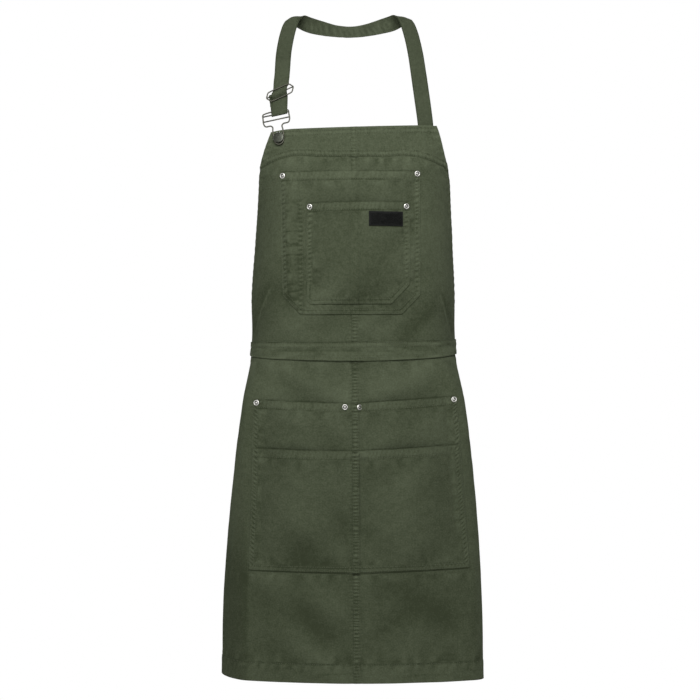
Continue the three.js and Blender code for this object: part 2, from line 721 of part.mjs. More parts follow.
function makeSlider() {
  const place = (p, q) => tiltedPoint(SLIDER, p, q, SLIDER.r, SLIDER.u);
  const end = SLIDER.halfLength;
  const lower = SLIDER_CORNER.slice(1).reverse().map((row) => ({ p: row.p, q: -row.q }));
  const right = [...SLIDER_CORNER, { p: end, q: 0 }, ...lower];
  const left = right.map((row) => ({ p: -row.p, q: -row.q }));
  const points = [...right, ...left].map((row) => place(row.p, row.q));
  const outline = closedWire(points, SLIDER.wire, 44, 6);
  const bar = wireBar(place(-end, 0), place(end, 0), hardware.out, SLIDER.wire * BAR_SHARE, 8);
  keep("strap_slider", fromSolid(outline.add(toSolid(bar))), MATERIALS.nickel);
}

// Profile of a head on a shank, with a plain end behind the cloth
function headProfile({ back, endRadius, endWall, shank, neck, top, radius, face }) {
  const head = face.map((row) => [row.share * radius, top - row.depth]);
  const end = [[0, back - endWall], [endRadius, back - endWall], [endRadius, back], [shank, back]];
  return [...end, ...neck, ...head];
}

function makeButton() {
  const front = CLOTH + RIVET_GAP;
  const underside = BUTTON.top - BUTTON_FACE[0].depth;
  const profile = headProfile({
    back: -BURR_GAP, endRadius: BUTTON.tack, endWall: BUTTON.tackWall, shank: BUTTON.pin,
    neck: [[BUTTON.pin, front], [BUTTON.shank, front], [BUTTON.shank, underside]],
    top: BUTTON.top, radius: BUTTON.radius, face: BUTTON_FACE,
  });
  keep("bib_button", turned(profile, hardware, 20), MATERIALS.gunmetal);
  cutHoles(hardware, BUTTON.pin, ["yoke_left"]);
}

function cutHoles(frame, shank, layers) {
  const radius = shank + HOLE_CLEARANCE;
  const profile = [[0, -HOLE_REACH], [radius, -HOLE_REACH], [radius, HOLE_REACH], [0, HOLE_REACH]];
  for (const layer of layers) {
    const piece = pieces.get(layer);
    piece.geometry = fromSolid(toSolid(piece.geometry).subtract(toSolid(turned(profile, frame, 10))));
  }
}

function makeRivets() {
  for (const rivet of RIVETS) {
    const pocket = POCKETS[rivet.outer];
    const face = (s, z) => pocketInner(pocket, s, z) + CLOTH;
    const frame = clothFrame(rivet.s, rivet.z, face);
    const back = -face(rivet.s, rivet.z) - BURR_GAP;
    const profile = headProfile({
      back, endRadius: BURR_RADIUS, endWall: BURR_WALL, shank: RIVET_SHANK, neck: [[RIVET_SHANK, RIVET_GAP]],
      top: RIVET_GAP + RIVET_HEIGHT, radius: RIVET_RADIUS, face: RIVET_FACE,
    });
    keep(rivet.name, turned(profile, frame, 12), MATERIALS.nickel);
    cutHoles(frame, RIVET_SHANK, rivet.layers);
  }
}

// Rows of the strap: centre of the cloth and the direction of its cross threads
function strapRows() {
  const rows = [];
  const inside = () => -(LIFT + STRAP_WALL);
  for (const rise of even(4)) {
    const frame = clothFrame(STRAP_SEWN.s, mix(STRAP_SEWN.low, STRAP_SEWN.high, rise), inside);
    rows.push({ centre: frame.origin, across: frame.right.clone() });
  }
  STRAP_ROUTE.forEach((row, place) => {
    const before = STRAP_ROUTE[Math.max(place - 1, 0)];
    const after = STRAP_ROUTE[Math.min(place + 1, STRAP_ROUTE.length - 1)];
    const run = new THREE.Vector3(after.x - before.x, after.y - before.y, after.z - before.z);
    const out = new THREE.Vector3(row.outX, row.outY, row.outZ);
    const across = new THREE.Vector3().crossVectors(run, out).normalize();
    rows.push({ centre: new THREE.Vector3(row.x, row.y, row.z), across });
  });
  for (const row of STRAP_LOOP) {
    const lean = radians(row.tilt);
    const across = hardware.right.clone().multiplyScalar(-Math.cos(lean));
    across.addScaledVector(hardware.up, -Math.sin(lean));
    const height = row.u + (row.r - STRAP_MIDDLE) * Math.tan(lean);
    rows.push({ centre: hardwarePoint(row.r, height, row.n), across });
  }
  return rows;
}

function makeStrap() {
  const rows = strapRows();
  const curve = new THREE.CatmullRomCurve3(rows.map((row) => row.centre), false, "centripetal");
  const stepsPerRow = 3;
  const count = (rows.length - 1) * stepsPerRow;
  const frames = even(count).map((turn, step) => {
    const place = Math.min(Math.floor(step / stepsPerRow), rows.length - 2);
    const across = rows[place].across.clone();
    across.lerp(rows[place + 1].across, step / stepsPerRow - place).normalize();
    const tangent = curve.getTangent(turn);
    const out = new THREE.Vector3().crossVectors(tangent, across);
    const slant = out.length();
    return { centre: curve.getPoint(turn), first: across.divideScalar(slant), second: out.normalize() };
  });
  const half = STRAP_WIDTH / 2;
  const wall = STRAP_WALL / 2;
  const section = [[-half, -wall], [half, -wall], [half, wall], [-half, wall]];
  keep("neck_strap", sweep(frames, section, false), MATERIALS.webbing);
}

makeBib();
makeSkirt();
makeWaistband();
makePockets();
makePatch();
makeBuckle();
makeSlider();
makeButton();
makeRivets();
makeStrap();

const apron = new THREE.Group();
for (const [name, piece] of pieces) {
  const mesh = new THREE.Mesh(piece.geometry, piece.material);
  mesh.name = name;
  apron.add(mesh);
}

export default apron;
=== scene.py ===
import math

import bpy
import numpy as np
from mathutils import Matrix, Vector


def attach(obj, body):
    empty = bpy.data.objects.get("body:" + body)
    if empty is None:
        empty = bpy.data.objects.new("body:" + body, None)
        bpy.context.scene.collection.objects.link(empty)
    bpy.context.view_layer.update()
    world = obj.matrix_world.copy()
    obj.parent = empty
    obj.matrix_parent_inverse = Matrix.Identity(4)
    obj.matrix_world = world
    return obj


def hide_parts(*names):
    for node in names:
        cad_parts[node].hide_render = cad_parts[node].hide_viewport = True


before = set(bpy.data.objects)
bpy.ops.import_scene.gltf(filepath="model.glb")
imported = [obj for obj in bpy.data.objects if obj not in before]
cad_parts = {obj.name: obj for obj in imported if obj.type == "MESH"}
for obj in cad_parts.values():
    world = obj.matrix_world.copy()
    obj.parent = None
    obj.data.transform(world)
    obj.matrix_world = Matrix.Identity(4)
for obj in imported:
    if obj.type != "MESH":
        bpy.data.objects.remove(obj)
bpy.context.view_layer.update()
MM = 0.001


def table(columns, rows):
    values = np.array(rows, float)
    return {name: values[:, place] for place, name in enumerate(columns)}


# Cloth
CLOTH = 0.9  # one layer of twill
LAY = 0.1  # between a panel and the layer sewn on it
STACK = CLOTH + LAY
SINK = 0.5  # cloth is pressed in by this much under a pocket sewn on it
LAP_SINK = 0.85  # and under the yoke
EDGE_ROUND = 0.4  # width of a cut or folded edge's rounding
EDGE_PINCH = 0.28  # share of the wall that each face gives up at its outermost points
HEM_LINE = -968  # stitch line of the skirt's turned hem
HEM_EDGE = -996
HEM_DEPTH = HEM_LINE - HEM_EDGE
WAIST = -500
WAIST_LAP = 8  # the skirt's upper edge runs up behind the bib
BIB_LAP = 4  # the bib's lower edge runs down behind the waistband
YOKE_LAP = 9  # the yoke's lower edge lies on the bib
YOKE_DIP = {"s": 58, "width": 32, "depth": 3.2}  # and lies lower there on each side
SEAM_LEFT = -3.5  # the centre seam: right halves lap over left ones from here
SEAM_RIGHT = 5.5
SEAM_UNDER = 4  # left halves end here, under the right ones
SEAM_SLOPE = 3  # width over which a lap falls away

# Horizontal sections of the worn form, as in the part: front is the y of the centre front, then an arc of
# length flat turning by turn degrees, a crease, and a side arc that would be widest at half. On the right
# the cloth turns back at fold. edge is the length of cloth from the centre to the side edge.
FORM = table(
    ("z", "front", "turn", "flat_left", "flat_right", "half_left", "half_right", "crease_left",
     "crease_right", "fold_right", "edge_left", "edge_right"),
    [
        (-140, -132, 10, 110, 110, 182, 182, 0, 0, 300, 114, 120),
        (-165, -142, 10, 110, 110, 180, 180, 0, 0, 300, 123.5, 130.5),
        (-205, -156, 13, 105, 105, 163, 163, 0, 0, 300, 142, 145),
        (-250, -165, 16, 98, 98, 148.5, 151.5, 0, 0, 300, 162.5, 168),
        (-330, -167, 17, 100, 100, 149, 151, 0, 0, 300, 184, 184),
        (-415, -167, 17, 100, 100, 155.5, 154, 0, 0, 300, 209, 207),
        (-487, -164, 17, 100, 100, 156.2, 155, 0, 0, 300, 250, 248),
        (-520, -168, 18, 122, 124, 158, 156, 2, 2, 300, 266, 264),
        (-580, -182, 20, 160, 161, 168.3, 166.3, 6, 4, 300, 287, 285),
        (-700, -187, 22, 166, 172, 184.5, 180, 14, 8, 240, 293, 292),
        (-850, -190, 24, 168, 178, 200, 190, 22, 10, 226, 296, 297),
        (-1000, -191, 24, 169, 182, 206, 193, 28, 12, 220, 300, 305),
    ],
)
CREASE_RADIUS = 25
WRAP_RADIUS = 15
WRAP_HEADING = math.radians(110)
STRAIGHT_ON = 400  # longest straight stretch past the last bend

# Main folds, as in the part: ridges, or hollows where height is negative
FOLDS = table(
    ("s", "z", "to_s", "to_z", "width", "height"),
    [
        (132, -523, 36, -567, 16, 2.0),
        (-134, -529, -66, -585, 15, -1.8),
        (-140, -515, -12, -572, 15, 1.6),
        (13, -748, 52, -810, 20, -2.0),
        (-15, -770, -88, -804, 20, -2.0),
        (40, -850, 138, -905, 24, -2.6),
        (-124, -862, -50, -932, 24, -2.2),
        (-178, -473, -125, -408, 15, -2.0),
        (172, -473, 138, -421, 15, -2.0),
    ],
)
YOKE_SEAM = table(
    ("s", "z"), [(0, -200), (40, -197.5), (74, -195), (103, -200), (146, -215), (172, -230)])
CENTRE_DRIFT = table(("z", "x"), [(-1000, 4.5), (-500, 1.5), (-160, 0)])
BIB_TOP = -161.7
BIB_TOP_RISE = 0.03
BIB_TOP_DROP = {"start": 88, "end": 124, "left": 3.5, "right": 1.2}
BAND = {"low": -515.5, "low_rise_left": 6.5, "low_rise_right": 10, "high": -486.5, "high_rise": 1.5,
        "tilt": 0.01, "half_span": 175, "reach": 1.5}

# Pockets: corners in cloth coordinates, the slant of the mouth, chamfers, the hollow behind the panel, how
# much further the mouth hangs open, the margin sewn flat at each side, the depth of the mouth's hem, the
# grid step across in plain steps, the pocket that it is sewn on and the half that it belongs to
POCKET_COLUMNS = (
    "left_top", "left_low", "right_top", "right_low", "low", "high", "tilt", "chamfer_left", "chamfer_right",
    "hollow", "gape", "margin", "hem", "step", "on", "half")
POCKET_ROWS = {
    "large": (-112, -109, 102, 102, -446, -230.6, 0.006, 28, 29, 8, 5, 10, 13.5, 0.7, None, None),
    "small": (-71, -72, 85, 85, -430.5, -277.5, 0.015, 7, 29, 7.5, 0, 10, 13, 0.6, "large", None),
    "back_left": (-154.5, -165, SEAM_UNDER, SEAM_UNDER, -833, -579.2, -0.036, 0, 0, 9, 5, 19, 12.8, 0.9,
                  None, "left"),
    "back_right": (SEAM_LEFT, SEAM_LEFT, 157.5, 178, -833, -578.8, 0.066, 0, 0, 9, 5, 19, 12.8, 0.9,
                   None, "right"),
    "front_left": (-155.5, -164.5, SEAM_UNDER, SEAM_UNDER, -831, -649.5, -0.02, 0, 0, 8, 0, 16, 13.6, 0.8,
                   "back_left", "left"),
    "front_right": (SEAM_LEFT, SEAM_LEFT, 160.2, 177, -831, -649.6, 0.056, 0, 0, 8, 0, 16, 13.6, 0.8,
                    "back_right", "right"),
}
POCKETS = {key: dict(zip(POCKET_COLUMNS, row)) for key, row in POCKET_ROWS.items()}
LOW_TILT_SHARE = 0.5
PEN_SLOT = -80
PEN_HOLLOW = 5
PEN_MARGIN = 3
PEN_SLOT_TOP = -272
FULL_BELLY = 0.4
GAPE_START = 0.55

PATCH = {"left": 22, "right": 73.6, "low": -313.3, "high": -291.6, "wall": 1.6}
RIVETS = [
    ("rivet_large_pocket_left", -106.8, -236.7, "large"),
    ("rivet_large_pocket_right", 97, -233.6, "large"),
    ("rivet_small_pocket_left", -65.6, -284, "small"),
    ("rivet_small_pocket_right", 79.5, -283.2, "small"),
    ("rivet_skirt_left_outer", -149.3, -578.4, "back_left"),
    ("rivet_skirt_left_inner", -13.9, -584.2, "back_left"),
    ("rivet_skirt_right_inner", 7.4, -584.5, "back_right"),
    ("rivet_skirt_right_outer", 152.2, -573.3, "back_right"),
]

# Hardware in the plane that touches the bib at the button: r to the right, u up and n out. p and q are a
# wire's own axes, turned from r and u by its tilt.
BUTTON = {"s": -112, "z": -179.6, "radius": 8.4, "shank": 3.5, "pin": 1.2, "tack": 4.5}
BUCKLE = {"wire": 1.1, "tilt": 11.4, "r": 0, "u": 0, "plane": 3.4, "half_width": 20.4,
          "bars": (38.7, 30.2), "foot": -10.3}
BUCKLE_OUTLINE = [
    (17.5, 42.8), (20, 41.1), (20.4, 35), (20.4, 27), (17.8, 22.3), (10.2, 21.6), (7.4, 19), (7.9, 13),
    (7.7, 5), (7.1, -2), (5, -7.6),
]
SLIDER = {"wire": 1, "tilt": 24, "r": -2.4, "u": 71.8, "plane": 7.1, "half_width": 22, "bars": (0,)}
SLIDER_CORNER = [(0, 7.8), (13, 7.8), (17.2, 7), (20, 3.6)]

# Neck strap: sewn behind the bib, round the nape, and looped through the buckle and slider
STRAP_WIDTH = 24
STRAP_WALL = 1.2
STRAP_SEWN = {"s": 111, "low": -196, "high": -160}
STRAP_ROUTE = table(
    ("x", "y", "z", "out_x", "out_y", "out_z"),
    [
        (104.5, -115, -112, 0.06, -0.92, 0.38), (99.5, -98, -72, 0.08, -0.88, 0.46),
        (95, -78, -38, 0.12, -0.78, 0.6), (89, -57, -9, 0.12, -0.66, 0.74),
        (83.6, -43, 8.4, 0.14, -0.45, 0.88), (78.4, -29, 18, 0.12, -0.02, 0.98),
        (71.5, -15, 16.3, 0.36, 0.6, 0.72), (61, -6.5, 12.3, 0.3, 0.92, 0.25),
        (46, -2.5, 8.3, 0.2, 0.96, -0.18), (22, -0.2, 2.4, 0.1, 0.86, -0.5), (0, 0.5, -0.4, 0, 0.8, -0.6),
        (-26, 0.2, 1, -0.08, 0.84, -0.54), (-52, -2, 6, -0.2, 0.96, -0.18),
        (-70, -6, 10.5, -0.3, 0.92, 0.25), (-83, -14, 15.6, -0.36, 0.6, 0.72),
        (-91.5, -28, 18, -0.12, -0.02, 0.98), (-96, -42, 8, -0.14, -0.45, 0.88),
        (-101.3, -56, -11, -0.12, -0.66, 0.74), (-106, -76, -40, -0.14, -0.8, 0.58),
    ],
)
STRAP_MIDDLE = -2.6
STRAP_LOOP = table(
    ("r", "u", "n", "tilt"),
    [
        (-1.7, 102.3, 4.6, 4), (-2.1, 89.3, 4.6, 14), (-2.1, 80.3, 4.7, 24), (-2.4, 77.9, 6.4, 24),
        (-2.6, 74.9, 9.6, 24), (-2.6, 71.8, 11, 24), (-2.6, 68.7, 9.6, 24), (-2.6, 65.7, 6.4, 24),
        (-2.3, 63.3, 4.7, 24), (-1.7, 54.3, 5.3, 16), (-1.3, 45.3, 5.7, 11.4), (-1.2, 39.1, 5.6, 11.4),
        (-1.3, 37.5, 4.9, 11.4), (-1.6, 36.8, 3.4, 11.4), (-2, 37.5, 1.9, 11.4), (-2.6, 39.1, 1.2, 11.4),
        (-4.2, 46.3, 1.1, 11.4), (-5.6, 56.3, 1.8, 16), (-6.6, 61.8, 2.7, 24), (-7.1, 65.5, 3.6, 24),
        (-7.1, 68.1, 5.6, 24), (-7.1, 69.6, 7.4, 24), (-7.1, 70.5, 8.75, 24), (-7.1, 71.8, 9.25, 24),
        (-7.1, 73.1, 8.75, 24), (-7.1, 74.1, 7.1, 24), (-7.1, 73.4, 5.4, 24), (-7.1, 71.6, 4.2, 24),
        (-7.1, 68.8, 3, 24), (-7.1, 65.5, 1.4, 24), (-6.8, 60.8, 0.4, 20), (-6.4, 55.8, -0.4, 16),
    ],
)

# Puckers: bumps along a seam, by the length of one bump and its height
CENTRE_PUCKER = (5.2, 2.3)
SIDE_PUCKER = (6.9, 1.6)
SKIRT_SIDE_PUCKER = (6.2, 1.9)
SKIRT_HEM_PUCKER = (7.4, 1.2)
HEM_PUCKER = (6.4, 0.75)
YOKE_PUCKER = (5.6, 0.8)
EDGE_PUCKER = (5.0, 0.5)
SIDE_HEM_PUCKER = (10.5, 1.0)
BAND_EDGE_PUCKER = (5.6, 0.4)
BUMP_MIDDLE = 0.42

# Wrinkles that start at a seam: the length of one along the seam, its reach away from the seam and its height
SIDE_HEM_DRAG = (8, 10, 0.5)
BAND_DRAG = (9, 22, 0.7)
SKIRT_HEM_DRAG = (9, 20, 0.7)
POCKET_FOOT_DRAG = (8, 14, 0.7)
YOKE_DRAG = (7, 16, 0.9)
BORDER_DRAG = (6, 11, 0.7)
MOUTH_DRAG = (8, 14, 0.6)

# Thread
STITCH_PITCH = 3.4
STITCH_GAP = 0.7
THREAD = 0.36


# Numbers
def mix(start, end, part):
    return start + (end - start) * part


def share(value, start, end):
    return np.clip((value - start) / (end - start), 0, 1)


def ease(value, start, end):
    part = share(value, start, end)
    return part * part * (3 - 2 * part)


def bell(value, middle, width):
    return np.exp(-(((value - middle) / width) ** 2))


def smooth(rows, key, name, at):
    order = np.argsort(rows[key])
    keys = rows[key][order]
    values = rows[name][order]
    slopes = np.empty_like(values)
    slopes[1:-1] = (values[2:] - values[:-2]) / (keys[2:] - keys[:-2])
    slopes[0] = (values[1] - values[0]) / (keys[1] - keys[0])
    slopes[-1] = (values[-1] - values[-2]) / (keys[-1] - keys[-2])
    at = np.clip(at, keys[0], keys[-1])
    index = np.clip(np.searchsorted(keys, at, side="left") - 1, 0, len(keys) - 2)
    span = keys[index + 1] - keys[index]
    t = (at - keys[index]) / span
    pull = t * (1 - t) * span
    curve_at = mix(values[index], values[index + 1], t * t * (3 - 2 * t))
    return curve_at + pull * ((1 - t) * slopes[index] - t * slopes[index + 1])


# Smooth noise from -1 to 1 with features about size mm across
LATTICE = 64


def noise(across, along, size, seed):
    lattice = np.random.default_rng(seed).uniform(-1, 1, (LATTICE, LATTICE))
    u, v = np.broadcast_arrays(np.asarray(across, float) / size, np.asarray(along, float) / size)
    column = np.floor(u).astype(int)
    row = np.floor(v).astype(int)
    part_u = ease(u - column, 0, 1)
    part_v = ease(v - row, 0, 1)

    def corner(right, up):
        return lattice[(column + right) % LATTICE, (row + up) % LATTICE]

    low = mix(corner(0, 0), corner(1, 0), part_u)
    high = mix(corner(0, 1), corner(1, 1), part_u)
    return mix(low, high, part_v)


# Uneven bumps along a seam, from 0 to 1, with round tops and narrow valleys
def bumps(along, length, seed):
    phase = along / length + 0.5 * noise(along, 0, 2.7 * length, seed)
    height = 0.7 + 0.3 * noise(along, 9, 3.3 * length, seed + 1)
    return height * (0.5 + 0.5 * np.cos(2 * np.pi * phase)) ** 0.8


# The same about their middle height, for a pucker's length and height
def puckers(along, pucker, seed):
    length, height = pucker
    return height * (bumps(along, length, seed) - BUMP_MIDDLE)


# Thin creases, from 0 to -1, along the lines where a noise changes sign
CREASE_WIDTH = 0.16


def creases(across, along, size, seed):
    return -bell(noise(across, along, size, seed), 0, CREASE_WIDTH)


# Worn form
def form_arcs(s, z):
    left = s < 0

    def pick(name):
        sides = (smooth(FORM, "z", name + side, z) for side in ("_left", "_right"))
        return np.where(left, *sides)

    turn = np.radians(smooth(FORM, "z", "turn", z))
    flat = pick("flat")
    crease = np.radians(pick("crease"))
    half = pick("half")
    fold = np.where(left, np.inf, smooth(FORM, "z", "fold_right", z))
    heading = turn + crease
    across = flat / turn * np.sin(turn) + CREASE_RADIUS * (np.sin(heading) - np.sin(turn))
    radius = (half - across) / (1 - np.sin(heading))
    crease_length = CREASE_RADIUS * crease
    side = np.minimum(fold - flat - crease_length, radius * (WRAP_HEADING - heading))
    wrap = np.maximum(WRAP_HEADING - heading - side / radius, 0)
    rest = np.full_like(flat, STRAIGHT_ON)
    lengths = (flat, crease_length, side, WRAP_RADIUS * wrap, rest)
    bends = (turn, crease, side / radius, wrap, 0 * rest)
    return zip(lengths, bends)


# Points of the worn form lifted outwards, and the outward directions: s along the cloth from the centre, z up
def cloth_points(s, z, lift):
    s, z = np.broadcast_arrays(np.asarray(s, float), np.asarray(z, float))
    x = np.zeros_like(s)
    y = np.zeros_like(s)
    heading = np.zeros_like(s)
    remaining = np.abs(s)
    for length, bend in form_arcs(s, z):
        step = np.minimum(remaining, length)
        turned = bend * step / np.where(length > 0, length, 1)
        chord = step * np.sinc(turned / (2 * np.pi))
        x = x + chord * np.cos(heading + turned / 2)
        y = y + chord * np.sin(heading + turned / 2)
        heading = heading + turned
        remaining = remaining - step
    side = np.where(s < 0, -1, 1)
    out = np.stack([side * np.sin(heading), -np.cos(heading), 0 * s], axis=-1)
    x = side * x + smooth(CENTRE_DRIFT, "z", "x", z)
    y = smooth(FORM, "z", "front", z) + y
    return np.stack([x, y, z], axis=-1) + out * (lift + folds(s, z))[..., None], out


# 1 along a stretch of cloth, fading out within width of it
def streak(s, z, from_s, from_z, to_s, to_z, width):
    run = np.array([to_s - from_s, to_z - from_z])
    length = np.hypot(*run)
    along = ((s - from_s) * run[0] + (z - from_z) * run[1]) / length
    across = ((s - from_s) * run[1] - (z - from_z) * run[0]) / length
    past = np.maximum(np.maximum(-along, along - length), 0)
    return np.exp(-(across**2 + past**2) / width**2)


def folds(s, z):
    return sum(rise * streak(s, z, *ends) for *ends, rise in zip(*FOLDS.values()))


def edge_left(z):
    return -smooth(FORM, "z", "edge_left", z)


def edge_right(z):
    return smooth(FORM, "z", "edge_right", z)


def yoke_seam(s):
    return smooth(YOKE_SEAM, "s", "z", np.abs(s))


def yoke_low(s):
    dip = YOKE_DIP["depth"] * bell(np.abs(s), YOKE_DIP["s"], YOKE_DIP["width"])
    return yoke_seam(s) - YOKE_LAP - dip


def bib_top(s):
    drop = np.where(s < 0, BIB_TOP_DROP["left"], BIB_TOP_DROP["right"])
    past = share(np.abs(s), BIB_TOP_DROP["start"], BIB_TOP_DROP["end"])
    return BIB_TOP + BIB_TOP_RISE * s - drop * past**2


# Pocket outlines and hollows
CHAMFER_ROUND = 0.4


def pocket_low(pocket, s):
    return pocket["low"] + pocket["tilt"] * s * LOW_TILT_SHARE


def pocket_high(pocket, s):
    return pocket["high"] + pocket["tilt"] * s


def pocket_edges(pocket, z):
    rise = share(z, pocket["low"], pocket["high"])

    def cut(chamfer):
        return chamfer * (1 - share(z, pocket["low"], pocket["low"] + chamfer + CHAMFER_ROUND))

    left = mix(pocket["left_low"], pocket["left_top"], rise) + cut(pocket["chamfer_left"])
    right = mix(pocket["right_low"], pocket["right_top"], rise) - cut(pocket["chamfer_right"])
    return left, right


def belly(s, start, end, margin):
    return np.sin(np.pi * share(s, start + margin, end - margin))


def pocket_hollow(pocket, s, z):
    left, right = pocket_edges(pocket, z)
    rise = share(z, pocket_low(pocket, s), pocket_high(pocket, s))
    full = np.sin(np.pi / 2 * np.minimum(rise / FULL_BELLY, 1))
    depth = pocket["hollow"] * full + pocket["gape"] * share(rise, GAPE_START, 1) ** 2
    whole = depth * belly(s, left, right, pocket["margin"])
    if pocket is not POCKETS["large"]:
        return whole
    main = depth * belly(s, PEN_SLOT, right, pocket["margin"])
    divided = main + PEN_HOLLOW * full * belly(s, left, PEN_SLOT, PEN_MARGIN)
    return mix(divided, whole, share(z, PEN_SLOT_TOP, pocket["high"]))


# Lift of a pocket's layer, without the lap of a right half
def pocket_base(pocket, s, z):
    under = 0 if pocket["on"] is None else pocket_base(POCKETS[pocket["on"]], s, z)
    return under + STACK - SINK + lap_below(s) + pocket_hollow(pocket, s, z)


def pocket_inner(pocket, s, z):
    return pocket_base(pocket, s, z) + (lap(s) if pocket["half"] == "right" else 0)


# The centre seam: right halves lap over left ones, and every layer above rises over that lap
def lap(s):
    return STACK * (1 - ease(s, SEAM_RIGHT, SEAM_RIGHT + SEAM_SLOPE))


def lap_below(s):
    return lap(s) * ease(s, SEAM_LEFT - SEAM_SLOPE, SEAM_LEFT)


# Outline of a pocket from the left end of its mouth, down, along the bottom and up to the right end, without
# the side at the centre seam
def pocket_outline(pocket):
    low_left = pocket_low(pocket, pocket["left_low"])
    low_right = pocket_low(pocket, pocket["right_low"])
    points = [(pocket["left_top"], pocket_high(pocket, pocket["left_top"]))]
    if pocket["chamfer_left"]:
        points.append((pocket["left_low"], low_left + pocket["chamfer_left"]))
    points.append((pocket["left_low"] + pocket["chamfer_left"], low_left))
    points.append((pocket["right_low"] - pocket["chamfer_right"], low_right))
    if pocket["chamfer_right"]:
        points.append((pocket["right_low"], low_right + pocket["chamfer_right"]))
    points.append((pocket["right_top"], pocket_high(pocket, pocket["right_top"])))
    ends = {"left": slice(0, -1), "right": slice(1, None), None: slice(None)}
    return np.array(points[ends[pocket["half"]]], float)


# Distance inside an outline and length along it, by its nearest stretch
def from_outline(outline, s, z):
    nearest = np.full(np.shape(s), np.inf)
    along = np.zeros(np.shape(s))
    passed = 0.0
    for start, end in zip(outline[:-1], outline[1:]):
        run = end - start
        length = np.hypot(*run)
        forward = ((s - start[0]) * run[0] + (z - start[1]) * run[1]) / length
        inside = ((z - start[1]) * run[0] - (s - start[0]) * run[1]) / length
        closer = inside < nearest
        nearest = np.where(closer, inside, nearest)
        along = np.where(closer, passed + forward, along)
        passed += length
    return nearest, along


# The outline moved inwards, with its corners where the moved stretches meet
def inset(outline, distance):
    runs = np.diff(outline, axis=0)
    runs = runs / np.hypot(runs[:, 0], runs[:, 1])[:, None]
    inward = np.stack([-runs[:, 1], runs[:, 0]], axis=1)
    points = [outline[0] + inward[0] * distance]
    for corner, before, after in zip(outline[1:-1], inward[:-1], inward[1:]):
        points.append(corner + (before + after) * distance / (1 + before @ after))
    points.append(outline[-1] + inward[-1] * distance)
    return np.array(points)


# How far a panel sinks under the pocket sewn on it
def sunk(pocket, s, z):
    distance, _ = from_outline(pocket_outline(pocket), s, z)
    below_mouth = pocket_high(pocket, s) - z
    return SINK * ease(distance, -2.5, 1.5) * ease(below_mouth, -3, 3)


# 1 where a height is outside a covered stretch, and 0 inside it
def uncovered(z, low, high):
    return 1 - ease(z, low - 1, low + 4) * (1 - ease(z, high - 4, high + 1))


# Relief of sewn cloth, in millimetres over the smooth panel
EDGE_RISE = 0.35  # a folded border over the single layer beside it
GROOVE = 0.45  # where a row of stitches pulls the cloth in
GROOVE_WIDTH = 0.9
# Soft folds that fall towards the centre: width, height and seed
SOFT_FOLDS = ((36, 2.2, 11), (17, 0.7, 13))
SOFT_SLANT = (0.66, 0.75)  # outwards and down, across such a fold
SOFT_LENGTH = 2.2  # of a fold, in widths
SOFT_TOP = (-240, -190)  # they fade out towards the bib's stiff top
SOFT_PATCH = (15, 60)  # round the patch
SOFT_WAIST = (4, 40)  # on both sides of the waist
SOFT_CENTRE = (2, 18)  # beside the skirt's centre seam
SOFT_SIDES = (0.6, 0.95)  # and towards the sides, in half widths
FOLD_LIGHT_AND_SHADE = 0.18  # painted light and shade of the folds: paler on their ridges, darker in their hollows


def softness(s, z):
    on_skirt = z < WAIST
    outside = np.abs(s)
    outwards = np.where(on_skirt, outside, s)
    across = SOFT_SLANT[0] * outwards - SOFT_SLANT[1] * z
    along = (SOFT_SLANT[1] * outwards + SOFT_SLANT[0] * z) / SOFT_LENGTH
    left_skirt = on_skirt & (s < 0)
    height = 0
    for size, rise, seed in SOFT_FOLDS:
        halves = (noise(across, along, size, half_seed) for half_seed in (seed, seed + 1))
        height = height + rise * np.where(left_skirt, *halves)
    from_patch = np.hypot(s - (PATCH["left"] + PATCH["right"]) / 2, z - (PATCH["low"] + PATCH["high"]) / 2)
    flat = (1 - 0.7 * ease(z, *SOFT_TOP)) * ease(from_patch, *SOFT_PATCH)
    flat = flat * ease(np.abs(z - WAIST), *SOFT_WAIST) * np.where(on_skirt, ease(outside, *SOFT_CENTRE), 1)
    return height * flat * (1 - 0.85 * ease(outside / smooth(FORM, "z", "half_left", z), *SOFT_SIDES))


# A folded border with bumps along it and a groove at each row of stitches. The bumps are highest at middle
# and fade within spread, both in borders.
def sewn_edge(distance, along, border, pucker, rows, seed, spread=0.5, strength=1, middle=0.5):
    rise = EDGE_RISE * (1 - ease(distance, border - 0.5, border + 1.5))
    bump = puckers(along, pucker, seed) * bell(distance, border * middle, border * spread)
    depth = GROOVE * (0.7 + 0.4 * noise(along, 5, 5, seed + 2))
    return rise + strength * bump - depth * sum(bell(distance, row, GROOVE_WIDTH) for row in rows)


# Painted shade line along a seam, an edge or a row of stitches, uneven along it
def painted_shade_line(distance, along, depth, seed, width=0.9):
    return -depth * bell(distance, 0, width) * (0.8 + 0.6 * noise(along, 3, 8, seed))


# Painted shade between the bumps along a seam, within width of its middle
VALLEY_SHADE = -0.45


def painted_valley_shade(distance, along, width, pucker, seed):
    return VALLEY_SHADE * (1 - bumps(along, pucker[0], seed)) ** 2 * bell(distance, 0, width)


# Painted shadow line on a panel just above the mouth of the pocket sewn on it
MOUTH_DARK = 1.3
MOUTH_DARK_ON_POCKET = 0.9
MOUTH_END = 6


def mouth_shadow_line(pocket, s, z, seed):
    left, right = pocket_edges(pocket, z)
    within = ease(s, left, left + MOUTH_END) * (1 - ease(s, right - MOUTH_END, right))
    depth = MOUTH_DARK if pocket["on"] is None else MOUTH_DARK_ON_POCKET
    return painted_shade_line(z - pocket_high(pocket, s) - 0.4, s, depth, seed) * within


def drag(distance, along, wrinkle, seed):
    length, reach, height = wrinkle
    away = np.maximum(distance, 0)
    near = bell(away, 0, reach) * ease(distance, 0, 4)
    return height * noise(along, away * 0.3, length, seed) * near


# Painted shade of thin creases that run out of a seam here and there
PULLED_SHADE = {"tone": 0.4, "length": 7, "reach": 11, "patches": 40}


